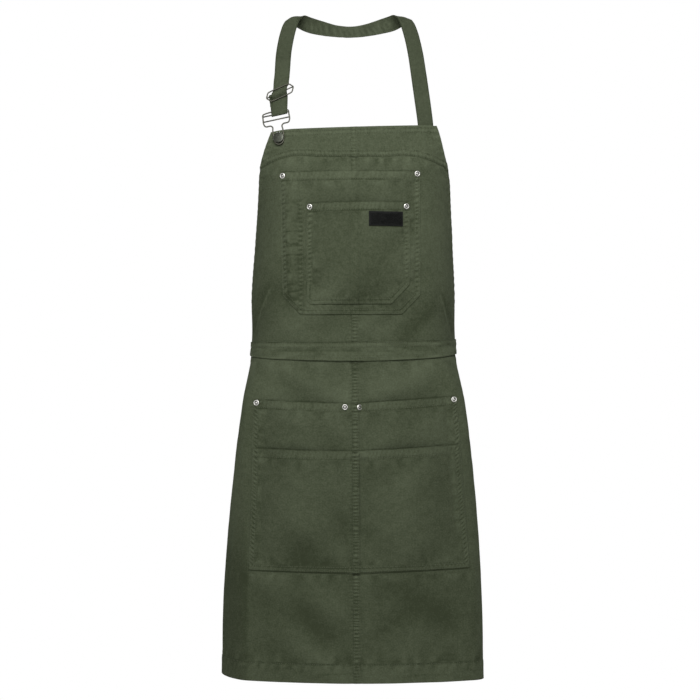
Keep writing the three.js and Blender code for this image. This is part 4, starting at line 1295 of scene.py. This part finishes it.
# painted shade low on the outer side of the front left pocket
FRONT_SIDE_SHADE = {"tone": -0.27, "middle": 8, "width": 16, "heights": (-750, -690)}

# The dense block of stitches that holds the front pockets' mouth at the centre seam
BARTACK = {"left": 0, "right": 19, "rows": 7, "step": 1.7, "down": 1.5, "pitch": 2.2, "thread": 0.42}
BARTACK_SEED = 190


def bartack(pocket):
    s = np.linspace(BARTACK["left"], BARTACK["right"], 12)
    for row in range(BARTACK["rows"]):
        wobble = 0.4 * noise(s, row, 2.5, BARTACK_SEED)
        z = pocket_high(pocket, s) - BARTACK["down"] - row * BARTACK["step"] + wobble
        yield np.stack([s + (row % 2), z], -1)


def bartack_lump(pocket, s, z):
    half = (BARTACK["right"] - BARTACK["left"]) / 2
    depth = BARTACK["rows"] * BARTACK["step"] / 2
    across = (s - BARTACK["left"] - half) / half
    down = (pocket_high(pocket, s) - BARTACK["down"] - depth - z) / depth
    lump = 1.3 + 0.7 * noise(s, z, 2.6, BARTACK_SEED + 1)
    return lump * (1 - ease(np.hypot(across, down), 0.5, 1.2))


# 1 on the narrow strip between the pocket's left border and the pen slot's seam
def pen_strip(pocket, s):
    left = pocket["left_top"]
    return ease(s, left + 8, left + 12) * (1 - ease(s, PEN_SLOT - 5, PEN_SLOT - 1))


def below_slot_top(z):
    return 1 - ease(z, PEN_SLOT_TOP - 6, PEN_SLOT_TOP + 6)


def make_pocket(key, seed):
    pocket = POCKETS[key]
    outline = pocket_outline(pocket)
    hem = pocket["hem"]
    side_start = pocket["low"] + max(pocket["chamfer_left"], pocket["chamfer_right"], 4)
    on_bib = pocket["half"] is None
    right_half = pocket["half"] == "right"
    pucker = SIDE_PUCKER if on_bib else SKIRT_SIDE_PUCKER
    slant = BEAD_SLANT[pocket["half"]]
    upper = next((other for other in POCKETS.values() if other["on"] == key), None)

    def inner(s, z):
        under = 0 if upper is None else sunk(upper, s, z)
        return pocket_inner(pocket, s, z) - under

    def pen_creases(s, z):
        return creases(s * 0.3, z, 9, seed + 6) * pen_strip(pocket, s)

    def relief(s, z):
        distance, along = from_outline(outline, s, z)
        down = pocket_high(pocket, s) - z
        strength = LOW_STRENGTH + (1 - LOW_STRENGTH) * ease(z, side_start, side_start + FOOT_FADE)
        slanted = along + slant * distance
        height = sewn_edge(
            distance, slanted, POCKET_BORDER, pucker, SEWN_ROWS, seed, BEAD_SPREAD, strength, BEADS)
        height = height + drag(distance - POCKET_BORDER, along, BORDER_DRAG, seed + 5)
        height = height + sewn_edge(down, s + 0.3 * down, hem, HEM_PUCKER, (hem - MOUTH_ROW,), seed + 1)
        height = height + drag(down - hem, s, MOUTH_DRAG, seed + 4)
        if not on_bib:
            height = height + centre_relief(s, z, right_half, seed + 3)
        if key == "large":
            slot = puckers(z, PEN_PUCKER, seed + 2) * bell(s, PEN_SLOT, 3)
            slot = slot - GROOVE * sum(bell(s, PEN_SLOT + row, GROOVE_WIDTH) for row in PEN_ROWS)
            height = height + (slot + PEN_CRUMPLE * pen_creases(s, z)) * below_slot_top(z)
        if key == "front_right":
            height = height + bartack_lump(pocket, s, z)
        if upper is not None and not on_bib:
            height = height * uncovered(z, upper["low"] - 20, pocket_high(upper, s))
        return height - rivet_dents(key, s, z)

    def shade(s, z):
        distance, along = from_outline(outline, s, z)
        down = pocket_high(pocket, s) - z
        uneven = 0.75 + 0.6 * noise(s, 7, 40, seed + 8)
        hem_line = down - hem + MOUTH_HEM_LINE["up"]
        hem_line = painted_shade_line(hem_line, s, MOUTH_HEM_LINE["depth"], seed + 8, MOUTH_HEM_LINE["width"])
        tone = painted_shade_line(down, s, MOUTH_EDGE_DARK, seed + 7) + uneven * hem_line
        below = 1 - ease(z, side_start, side_start + FOOT_FADE)
        for line_seed, (row, depth, width) in enumerate(FOOT_LINES, seed + 9):
            tone = tone + painted_shade_line(distance - row, along, depth, line_seed, width) * below
        middle = distance - POCKET_BORDER * BEADS
        slanted = along + slant * distance
        beads = painted_valley_shade(middle, slanted, 3, pucker, seed)
        if on_bib:
            beads = beads + BEAD_HIGHLIGHT * bumps(slanted, pucker[0], seed) * bell(middle, 0, 2.4)
        tone = tone + beads * (1 - FOOT_CALM * below) + pulled(distance - POCKET_BORDER, along, seed + 11)
        if upper is not None:
            tone = tone + mouth_shadow_line(upper, s, z, seed + 6)
        if key == "large":
            slot = painted_valley_shade(s - PEN_SLOT, z, 3, SIDE_PUCKER, seed + 2) + PEN_CREASE_SHADE * pen_creases(s, z)
            tone = tone + slot * below_slot_top(z)
        if not on_bib:
            tone = tone + half_shade(s, z, right_half, seed + 3)
        if key == "front_left":
            low_side = 1 - ease(z, *FRONT_SIDE_SHADE["heights"])
            at_side = bell(distance, FRONT_SIDE_SHADE["middle"], FRONT_SIDE_SHADE["width"])
            tone = tone + FRONT_SIDE_SHADE["tone"] * at_side * low_side
        return tone

    def turned(s, z):
        return turned_hem(pocket_high(pocket, s) - z, hem)

    name = ("bib_pocket_" if on_bib else "skirt_pocket_") + key
    columns = lines(pocket["right_top"] - pocket["left_top"], PLAIN_STEP * pocket["step"], 13, 13, FINE)
    down = lines(pocket["high"] - pocket["low"], BUMP_STEP, 10, hem + 4, FINE)
    edges = (
        lambda z: pocket_edges(pocket, z)[0], lambda z: pocket_edges(pocket, z)[1],
        lambda s: pocket_low(pocket, s), lambda s: pocket_high(pocket, s))
    surface = make_panel(name, columns, down, edges, inner, relief, turned, shade)
    paths = [inset(outline, row) for row in SEWN_ROWS]
    right_end = SEAM_LEFT if pocket["half"] == "left" else pocket["right_top"]
    ends = (pocket["left_top"] + 1, right_end - 1)
    paths.append(across_path(lambda s: pocket_high(pocket, s) - hem + MOUTH_ROW, *ends))
    if key == "large":
        paths += [vertical(PEN_SLOT + row, pocket["low"] + 2, PEN_SLOT_TOP) for row in PEN_ROWS]
    rows = [stitch_row(surface, path) for path in paths]
    if key == "front_right":
        rows += [stitch_row(surface, tack, BARTACK["pitch"], BARTACK["thread"]) for tack in bartack(pocket)]
    rows += centre_stitches(surface, right_half, pocket["low"] + 1, pocket["high"] - 1)
    make_stitches(name + "_stitches", rows)


for place_in, half in enumerate(HALVES):
    make_skirt(half, 100 + 10 * place_in)
for place_in, half in enumerate(HALVES):
    make_bib(half, 140 + 10 * place_in)
    make_yoke(half, 140 + 10 * place_in)
make_waistband()
for place_in, key in enumerate(POCKETS):
    make_pocket(key, 200 + 10 * place_in)


# Frames and wires
FRAME_STEP = 1.0


# Origin, right, up and out at a point of a surface given in cloth coordinates
def cloth_frame(surface, s, z):
    steps = np.array([[0, 0], [-1, 0], [1, 0], [0, -1], [0, 1]]) * FRAME_STEP
    middle, left, right, below, above = surface(s + steps[:, 0], z + steps[:, 1])[0]
    across = unit(right - left)
    out = unit(np.cross(across, above - below))
    return middle, across, np.cross(out, across), out


# Points and directions along a smooth cubic curve through the given points, with the place of each among them
def curve(points, steps, closed=False):
    points = np.asarray(points, float)
    if closed:
        before, start, end, after = (np.roll(points, shift, axis=0) for shift in (1, 0, -1, -2))
    else:
        start, end = points[:-1], points[1:]
        before = np.concatenate([[2 * points[0] - points[1]], points[:-2]])
        after = np.concatenate([points[2:], [2 * points[-1] - points[-2]]])
    stretches = ((before, start), (start, end), (end, after))
    gaps = [np.linalg.norm(far - near, axis=1)[:, None] ** 0.5 for near, far in stretches]
    leave = (start - before) / gaps[0] - (end - before) / (gaps[0] + gaps[1]) + (end - start) / gaps[1]
    arrive = (end - start) / gaps[1] - (after - start) / (gaps[1] + gaps[2]) + (after - end) / gaps[2]
    leave = leave * gaps[1]
    arrive = arrive * gaps[1]
    steps = np.broadcast_to(steps, len(start))
    segment = np.repeat(np.arange(len(start)), steps)
    part = np.concatenate([np.arange(count) / count for count in steps])
    if not closed:
        segment = np.append(segment, len(start) - 1)
        part = np.append(part, 1.0)
    t = part[:, None]
    square = 3 * (end - start) - 2 * leave - arrive
    cube = 2 * (start - end) + leave + arrive
    spots = start[segment] + t * (leave[segment] + t * (square[segment] + t * cube[segment]))
    run = leave[segment] + t * (2 * square[segment] + 3 * t * cube[segment])
    return spots, unit(run), segment + part


# Hardware
WIRE_SIDES = 16
WIRE_STEPS = 8  # of a wire's curve between two of its points
BAR_SHARE = 0.95  # a cross bar is a little thinner than the wire of the outline
HARDWARE = cloth_frame(lambda s, z: cloth_points(s, z, 0 * s), BUTTON["s"], BUTTON["z"])


def hardware_point(r, u, n):
    origin, right, up, out = HARDWARE
    spread = np.broadcast_arrays(*(np.asarray(value, float) for value in (r, u, n)))
    r, u, n = (value[..., None] for value in spread)
    return origin + r * right + u * up + n * out


def tilted_point(piece, p, q):
    cos = math.cos(math.radians(piece["tilt"]))
    sin = math.sin(math.radians(piece["tilt"]))
    return hardware_point(piece["r"] + p * cos - q * sin, piece["u"] + p * sin + q * cos, piece["plane"])


def wire_points(spots, run, radius):
    out = HARDWARE[3]
    return rings_round(spots, np.cross(out, run), out[None], radius, WIRE_SIDES).reshape(-1, 3)


# A closed wire in a piece's own plane, with straight bars across it
def make_wire(name, piece, ring):
    spots, run, _ = curve([tilted_point(piece, p, q) for p, q in ring], WIRE_STEPS, closed=True)
    points = [wire_points(spots, run, piece["wire"])]
    faces = tube_faces(len(spots), WIRE_SIDES, True)
    half = piece["half_width"]
    for q in piece["bars"]:
        faces += tube_faces(2, WIRE_SIDES, False, sum(map(len, points)))
        bar = np.stack([tilted_point(piece, -half, q), tilted_point(piece, half, q)])
        direction = unit(bar[1] - bar[0])
        points.append(wire_points(bar, np.stack([direction, direction]), piece["wire"] * BAR_SHARE))
    make_piece(name + "_wire", np.concatenate(points), faces, WIRE, (name,))


def make_buckle():
    left = [(-p, q) for p, q in reversed(BUCKLE_OUTLINE)]
    make_wire("bib_buckle", BUCKLE, [*BUCKLE_OUTLINE, (0, BUCKLE["foot"]), *left])


def make_slider():
    low = [(p, -q) for p, q in reversed(SLIDER_CORNER[1:])]
    right = [*SLIDER_CORNER, (SLIDER["half_width"], 0), *low]
    make_wire("strap_slider", SLIDER, right + [(-p, -q) for p, q in right])


# A solid of revolution about a frame's out axis, from (radius, height, darkening) rows that start and end on
# the axis
def make_turned(name, node, profile, frame_at, material, sides):
    origin, right, up, out = frame_at
    radius, height, darkening = np.array(profile, float).T
    centres = origin + height[:, None] * out
    rings = rings_round(centres[1:-1], right[None], up[None], radius[1:-1, None, None], sides)
    points = np.concatenate([rings.reshape(-1, 3), centres[[0, -1]]])
    darkening = np.concatenate([np.repeat(darkening[1:-1], sides), darkening[[0, -1]]])
    faces = tube_faces(len(rings), sides, False)[:-2]
    back = len(points) - 2
    last = (len(rings) - 1) * sides
    for corner in range(sides):
        following = (corner + 1) % sides
        faces.append((back, following, corner))
        faces.append((back + 1, last + corner, last + following))
    make_piece(name, points, faces, material, (node,), {"darkening": ("FLOAT", darkening)})


# Faces of the button and of a rivet: share of the radius, height over the cloth and how much darker the metal
# is
BUTTON_FACE = [
    (0.9, 5.1, 1), (0.97, 5.4, 0.6), (1, 5.9, 0.1), (0.99, 6.5, 0), (0.95, 7.0, 0), (0.89, 7.3, 0.2),
    (0.8, 7.45, 0.4), (0.65, 7.6, 0.4), (0.45, 7.7, 0.4), (0.2, 7.8, 0.4), (0, 7.82, 0),
]
BUTTON_NECK = 5.0  # height of the shank
BUTTON_FOOT = (0.2, 0.3)  # height over the cloth of the pin's end and of the shank's start
BUTTON_BACK = 0.3  # from the cloth's inside to its tack
BUTTON_SIDES = 64
RIVET_RADIUS = 4.5
RIVET_FACE = [
    (0.9, 0, 1), (0.98, 0.1, 0.8), (1, 0.4, 0.3), (0.97, 0.75, 0), (0.9, 1.1, 0), (0.82, 1.4, 0),
    (0.74, 1.5, 0), (0.66, 1.4, 0.2), (0.58, 1.1, 0.9), (0.5, 0.8, 1), (0.42, 0.72, 1), (0.35, 0.8, 0.8),
    (0.28, 1.1, 0.1), (0.18, 1.25, 0), (0.08, 1.2, 0.5), (0, 1.15, 0.9),
]
RIVET_SHANK = 1.5
RIVET_SHANK_TOP = -0.3
RIVET_SINK = 0.6  # into the pocket's border
RIVET_BACK = 0.15
RIVET_SIDES = 40
BURR_RADIUS = 3.4
BURR_WALL = 0.8


# Rows of a disc on the inside, with the shares of the radius at its back and front edges
def burr_rows(radius, back, back_share, front_share):
    low = back - BURR_WALL
    return [(0, low, 0), (radius * back_share, low, 0), (radius, back - BURR_WALL / 2, 0),
            (radius * front_share, back, 0)]


def face_rows(radius, rows):
    return [(radius * part, height, darkening) for part, height, darkening in rows]


def make_button():
    back = -STACK - BUTTON_BACK
    pin, shank = BUTTON["pin"], BUTTON["shank"]
    profile = burr_rows(BUTTON["tack"], back, 0.94, 0.94)
    profile += [(pin, back, 0), (pin, CLOTH + BUTTON_FOOT[0], 1), (shank, CLOTH + BUTTON_FOOT[1], 1)]
    profile += [(shank, BUTTON_NECK, 1), *face_rows(BUTTON["radius"], BUTTON_FACE)]
    make_turned("bib_button_turned", "bib_button", profile, HARDWARE, GUNMETAL, BUTTON_SIDES)


def make_rivet(name, s, z, pocket):
    seat = CLOTH + EDGE_RISE - RIVET_SINK

    def face(at_s, at_z):
        return cloth_points(at_s, at_z, pocket_inner(pocket, at_s, at_z) + softness(at_s, at_z) + seat)

    back = -(pocket_inner(pocket, np.array([s]), np.array([z]))[0] + seat) - RIVET_BACK
    profile = burr_rows(BURR_RADIUS, back, 0.9, 0.95)
    profile += [(RIVET_SHANK, back, 1), (RIVET_SHANK, RIVET_SHANK_TOP, 1)]
    profile += face_rows(RIVET_RADIUS, RIVET_FACE)
    make_turned(name + "_turned", name, profile, cloth_frame(face, s, z), NICKEL, RIVET_SIDES)


# Neck strap
STRAP_SEWN_ROWS = 5
STRAP_NAPE = (6, 14)  # rows of the route where the nape starts and ends
STRAP_BOWS = ((5, 0.45), (15, 1.0))  # rows where it bows over the shoulders, and how much
STRAP_BOW = {"length": 13, "middle": 1.8, "edges": 4.6}
STRAP_LIFT = -2.0  # of its middle, where it is sewn behind the bib
STRAP_STEP = 1.5
STRAP_FEWEST = 4  # steps between two rows
STRAP_STITCH = 9.4  # rows of stitches from the middle
STRAP_STITCH_START = 48
STRAP_HALF_COLUMNS = (2, 4, 6, 8, 8.9, 9.4, 9.9, 10.6, 11.6, 12)
STRAP_COLUMNS = np.array([*(-side for side in reversed(STRAP_HALF_COLUMNS)), 0, *STRAP_HALF_COLUMNS])
STRAP_FREE = {"start": (40, 120), "end": (-90, 0)}  # waves come after the sewn end and go before the loop
# Waves: height, stretch across, size and seed of each noise
STRAP_WAVES = ((0.35, 0.3, 34, 303), (0.4, 0.7, 16, 301), (0.2, 1, 6.5, 302))
STRAP_GATHER = (9, 1.5)
STRAP_GATHER_SEED = 304
STRAP_TURN = 30  # length over which the nape's gathers come and go
STRAP_EDGE = {"length": 4.2, "height": 0.22, "middle": 0.4, "groove": 0.28}
STRAP_PATTERN = 900
STRAP_STREAK_SEED = 305
STRAP_FACE_SEEDS = {1: 310, -1: 311}  # of the outer and the inner face
# Painted light and shade: of the edges, of the lift on either face, of the loop, and of the inside at the nape
STRAP_LIGHT_AND_SHADE = {"rim": -0.7, "lift_out": 0.4, "lift_in": -1.3, "loop": 0.3, "nape": 0.5, "streaks": 0.5,
               "turn": 0.2}


def strap_rows():
    def inside(s, z):
        return cloth_points(s, z, 0 * s + STRAP_LIFT)

    heights = np.linspace(STRAP_SEWN["low"], STRAP_SEWN["high"], STRAP_SEWN_ROWS)
    sewn = [cloth_frame(inside, STRAP_SEWN["s"], z) for z in heights]
    route = np.stack([STRAP_ROUTE[axis] for axis in ("x", "y", "z")], -1)
    outward = np.stack([STRAP_ROUTE[axis] for axis in ("out_x", "out_y", "out_z")], -1)
    run = np.concatenate([[route[1] - route[0]], route[2:] - route[:-2], [route[-1] - route[-2]]])
    lean = np.radians(STRAP_LOOP["tilt"])
    height = STRAP_LOOP["u"] + (STRAP_LOOP["r"] - STRAP_MIDDLE) * np.tan(lean)
    loop = hardware_point(STRAP_LOOP["r"], height, STRAP_LOOP["n"])
    loop_across = -(np.cos(lean)[:, None] * HARDWARE[1] + np.sin(lean)[:, None] * HARDWARE[2])
    centres = np.concatenate([[origin for origin, *_ in sewn], route, loop])
    across = np.concatenate([[right for _, right, *_ in sewn], unit(np.cross(run, outward)), loop_across])
    return centres, across


def make_strap():
    rows, across = strap_rows()
    gaps = np.linalg.norm(np.diff(rows, axis=0), axis=1)
    spots, run, place_in = curve(rows, np.maximum(np.ceil(gaps / STRAP_STEP).astype(int), STRAP_FEWEST))
    turns = {"place": np.arange(len(rows)), "x": across[:, 0], "y": across[:, 1], "z": across[:, 2]}
    threads = unit(np.stack([smooth(turns, "place", axis, place_in) for axis in ("x", "y", "z")], -1))
    out = np.cross(threads, run)
    slant = np.linalg.norm(out, axis=1, keepdims=True)
    threads = threads / slant
    out = out / slant
    along = np.concatenate([[0], np.cumsum(np.linalg.norm(np.diff(spots, axis=0), axis=1))])

    def along_at(row):
        return along[np.searchsorted(place_in, STRAP_SEWN_ROWS + row)]

    free_end = along_at(len(STRAP_ROUTE["x"]) - 1)
    nape_start, nape_end = map(along_at, STRAP_NAPE)
    crests = [(along_at(row), rise) for row, rise in STRAP_BOWS]

    # Waves of the free stretch, none at its sewn end or in the loop, and its bow across over each shoulder
    def wave(side, at):
        free = ease(at, *STRAP_FREE["start"]) * (1 - ease(at - free_end, *STRAP_FREE["end"]))
        nape = ease(at - nape_start, 0, STRAP_TURN) * (1 - ease(at - nape_end, -STRAP_TURN, 0))
        waves = sum(rise * noise(side * part, at, size, seed) for rise, part, size, seed in STRAP_WAVES)
        gathers = puckers(at + 0.3 * side, STRAP_GATHER, STRAP_GATHER_SEED) * bell(side, 3, 6.5)
        over = sum(rise * bell(at, crest, STRAP_BOW["length"]) for crest, rise in crests)
        bow = over * (STRAP_BOW["middle"] - STRAP_BOW["edges"] * (2 * side / STRAP_WIDTH) ** 2)
        return free * (waves + gathers * nape) + bow

    # Relief of its outer face, where sign is 1, or of its inner one
    def face_relief(side, at, sign):
        edge = STRAP_WIDTH / 2 - np.abs(side)
        bump = bumps(at, STRAP_EDGE["length"], STRAP_FACE_SEEDS[sign]) - STRAP_EDGE["middle"]
        groove = STRAP_EDGE["groove"] * bell(np.abs(side), STRAP_STITCH, 0.8)
        return STRAP_EDGE["height"] * bump * bell(edge, 3, 2.4) - groove

    side, at = np.meshgrid(STRAP_COLUMNS, along)
    lift = wave(side, at)
    outer, inner = (face_relief(side, at, sign) for sign in (1, -1))
    back, face = round_edges(lift - STRAP_WALL / 2 - inner, lift + STRAP_WALL / 2 + outer)
    from_turn = np.minimum(at - nape_start, nape_end - at)
    # Painted light and shade: dark edges, the outer face paler and the inner face darker where the strap
    # lifts, paler in the loop, and inside at the nape paler in the middle and near the turns, with shaded
    # streaks
    tone_out = outer + STRAP_LIGHT_AND_SHADE["lift_out"] * lift + STRAP_LIGHT_AND_SHADE["loop"] * ease(at - free_end, 15, 30)
    tone_out = tone_out + STRAP_LIGHT_AND_SHADE["rim"] * bell(STRAP_WIDTH / 2 - np.abs(side), 0.5, 1.1)
    streaks = creases(side * 0.25, at, 12, STRAP_STREAK_SEED) * ease(from_turn, 5, 30)
    tone_in = inner + STRAP_LIGHT_AND_SHADE["lift_in"] * lift + STRAP_LIGHT_AND_SHADE["nape"] * ease(from_turn, 10, 75)
    tone_in = tone_in + STRAP_LIGHT_AND_SHADE["streaks"] * streaks + STRAP_LIGHT_AND_SHADE["turn"] * (1 - ease(from_turn, 0, 25))
    base = spots[:, None, :] + side[..., None] * threads[:, None, :]
    faces_at = (base + value[..., None] * out[:, None, :] for value in (face, back))
    points = np.concatenate([layer.reshape(-1, 3) for layer in faces_at])
    attributes = cloth_attributes(side, at, STRAP_PATTERN, tone_out, tone_in)
    faces = sheet_faces(*side.shape)
    piece = make_piece("neck_strap_cloth", points, faces, WEBBING, ("neck_strap",), attributes)

    def between(vectors, at):
        return np.stack([np.interp(at, along, axis) for axis in vectors.T], -1)

    def surface_on(sign):
        def surface(side, at, lift=0):
            normal = sign * between(out, at)
            high = sign * wave(side, at) + STRAP_WALL / 2 + face_relief(side, at, sign) + lift
            return between(spots, at) + side[:, None] * between(threads, at) + high[:, None] * normal, normal

        return surface

    ends = np.arange(STRAP_STITCH_START, free_end, STITCH_PITCH)
    rows = []
    for sign in (1, -1):
        for side in (-STRAP_STITCH, STRAP_STITCH):
            rows.append(stitch_row(surface_on(sign), np.stack([0 * ends + side, ends], -1)))
    make_stitches("neck_strap_stitches", rows)


# Hook-and-loop patch: a woven tape, sewn round its edge, with a pile of small loops
PATCH_EDGE = 1.6
PATCH_STEP = 0.9
PATCH_STITCH = {"pitch": 2.4, "radius": 0.3}
PATCH_WEAVE = 0.25
PATCH_RISE = 0.3  # inside its edge
PATCH_GROOVE = 0.25
PATCH_SEED = 401
LOOP_COUNT = 1500
LOOP_POINTS = 6
LOOP_SIDES = 3
LOOP_RADIUS = 0.62
LOOP_SIZES = (0.7, 1.2)
LOOP_ARC = (-0.15, 1.15)  # in half turns
LOOP_THREAD = 0.11
LOOP_MARGIN = 0.8  # from the stitches


def make_patch():
    def inner(s, z):
        return pocket_inner(POCKETS["small"], s, z) + STACK

    def relief(s, z):
        edge_s = np.minimum(s - PATCH["left"], PATCH["right"] - s)
        edge_z = np.minimum(z - PATCH["low"], PATCH["high"] - z)
        edge = np.minimum(edge_s, edge_z)
        weave = PATCH_WEAVE * noise(s, z, 1.6, PATCH_SEED)
        return weave + PATCH_RISE * ease(edge, 1, 3) - PATCH_GROOVE * bell(edge, PATCH_EDGE, 0.6)

    surface = make_panel(
        "loop_patch", lines(51.6, PATCH_STEP), lines(22, PATCH_STEP),
        [level(PATCH[edge]) for edge in ("left", "right", "low", "high")], inner, relief, wall=PATCH["wall"],
        material=BLACK_PILE)
    left, right = PATCH["left"] + PATCH_EDGE, PATCH["right"] - PATCH_EDGE
    low, high = PATCH["low"] + PATCH_EDGE, PATCH["high"] - PATCH_EDGE
    ring = [(left, low), (right, low), (right, high), (left, high), (left, low)]
    stitches = stitch_row(surface, ring, **PATCH_STITCH)
    make_stitches("loop_patch_stitches", [stitches], BLACK_THREAD)
    draw = np.random.default_rng(PATCH_SEED + 1)
    s = draw.uniform(left + LOOP_MARGIN, right - LOOP_MARGIN, LOOP_COUNT)
    z = draw.uniform(low + LOOP_MARGIN, high - LOOP_MARGIN, LOOP_COUNT)
    lean = draw.uniform(0, 2 * np.pi, LOOP_COUNT)
    middle, out = surface(s, z)
    aside = surface(s + 0.5 * np.cos(lean), z + 0.5 * np.sin(lean))[0] - middle
    aside = unit(aside - (aside * out).sum(-1, keepdims=True) * out)
    normal = np.cross(out, aside)
    size = LOOP_RADIUS * draw.uniform(*LOOP_SIZES, LOOP_COUNT)
    rings = []
    for turn in np.linspace(*LOOP_ARC, LOOP_POINTS) * np.pi:
        arm = np.cos(turn) * aside + np.sin(turn) * out
        rings.append(rings_round(middle + size[:, None] * arm, arm, normal, LOOP_THREAD, LOOP_SIDES))
    make_tubes("loop_patch_pile", np.stack(rings, axis=1), BLACK_PILE)


make_patch()
make_buckle()
make_slider()
make_button()
for name, s, z, on in RIVETS:
    make_rivet(name, s, z, POCKETS[on])
make_strap()


# Camera, light and floor
CAMERA_PLACE = (-4.5, -3765, -499)
LENS = 123.43
SENSOR = 36


def make_camera():
    camera = bpy.data.objects.new("camera", bpy.data.cameras.new("camera"))
    camera.location = Vector(CAMERA_PLACE) * MM
    camera.rotation_euler = (math.pi / 2, 0, 0)
    camera.data.lens = LENS
    camera.data.sensor_width = SENSOR
    bpy.context.scene.collection.objects.link(camera)
    bpy.context.scene.camera = camera


# Soft boxes: place, the point it faces, width, height and power in watts
LIGHTS = {
    "key": ((0.0, -1.3, 0.75), (0, -0.15, -0.35), 0.9, 0.6, 19.5),
    "front_fill": ((-0.25, -2.4, 0.45), (0, 0, -0.35), 2.0, 1.6, 28.5),
    "left_fill": ((-3.0, -1.0, 0.0), (0, 0, -0.5), 2.0, 2.4, 7),
    "right_fill": ((3.0, -1.0, 0.0), (0, 0, -0.5), 2.0, 2.4, 8.5),
    "left_back": ((-2.8, 1.8, 0.2), (0, 0, -0.5), 2.0, 2.4, 9),
    "right_back": ((2.8, 1.8, 0.2), (0, 0, -0.5), 2.0, 2.4, 14),
    "back_fill": ((0.0, 3.4, 1.0), (0, 0, -0.5), 3.0, 2.4, 130),
}


def make_lights():
    for name, (spot, aim, width, height, power) in LIGHTS.items():
        data = bpy.data.lights.new(name, "AREA")
        data.shape = "RECTANGLE"
        data.size = width
        data.size_y = height
        data.energy = power
        lamp = bpy.data.objects.new(name, data)
        lamp.location = spot
        lamp.rotation_euler = (Vector(aim) - Vector(spot)).to_track_quat("-Z", "Y").to_euler()
        lamp.visible_camera = False
        bpy.context.scene.collection.objects.link(lamp)


# A white surround that the camera sees and the metal mirrors, while the soft boxes alone light the cloth
def make_world():
    world = bpy.data.worlds.new("surround")
    world.use_nodes = True
    background = world.node_tree.nodes["Background"]
    background.inputs["Color"].default_value = (1, 1, 1, 1)
    background.inputs["Strength"].default_value = 1
    world.cycles_visibility.diffuse = False
    bpy.context.scene.world = world
    bpy.context.scene.view_settings.view_transform = "Standard"


FLOOR_HEIGHT = -1.35
FLOOR_RADIUS = 1.9
FLOOR_SIDES = 96
FLOOR_COLOURS = ((0.8, 0.8, 0.79, 1), (0.86, 0.86, 0.85, 1))


def make_floor():
    material, tree, shader = new_material("pale_floor")
    speckle = noise_node(tree, object_spot(tree), 40, 3)
    fill_inputs(tree, shader, {"Base Color": blend_colours(tree, speckle, *FLOOR_COLOURS), "Roughness": 0.8})
    turn = 2 * np.pi * np.arange(FLOOR_SIDES) / FLOOR_SIDES
    ring = np.stack([FLOOR_RADIUS * np.cos(turn), FLOOR_RADIUS * np.sin(turn), 0 * turn + FLOOR_HEIGHT], -1)
    mesh = bpy.data.meshes.new("floor")
    mesh.from_pydata(ring.tolist(), [], [list(range(FLOOR_SIDES))])
    mesh.materials.append(material)
    floor = bpy.data.objects.new("floor", mesh)
    bpy.context.scene.collection.objects.link(floor)


make_camera()
make_lights()
make_world()
make_floor()
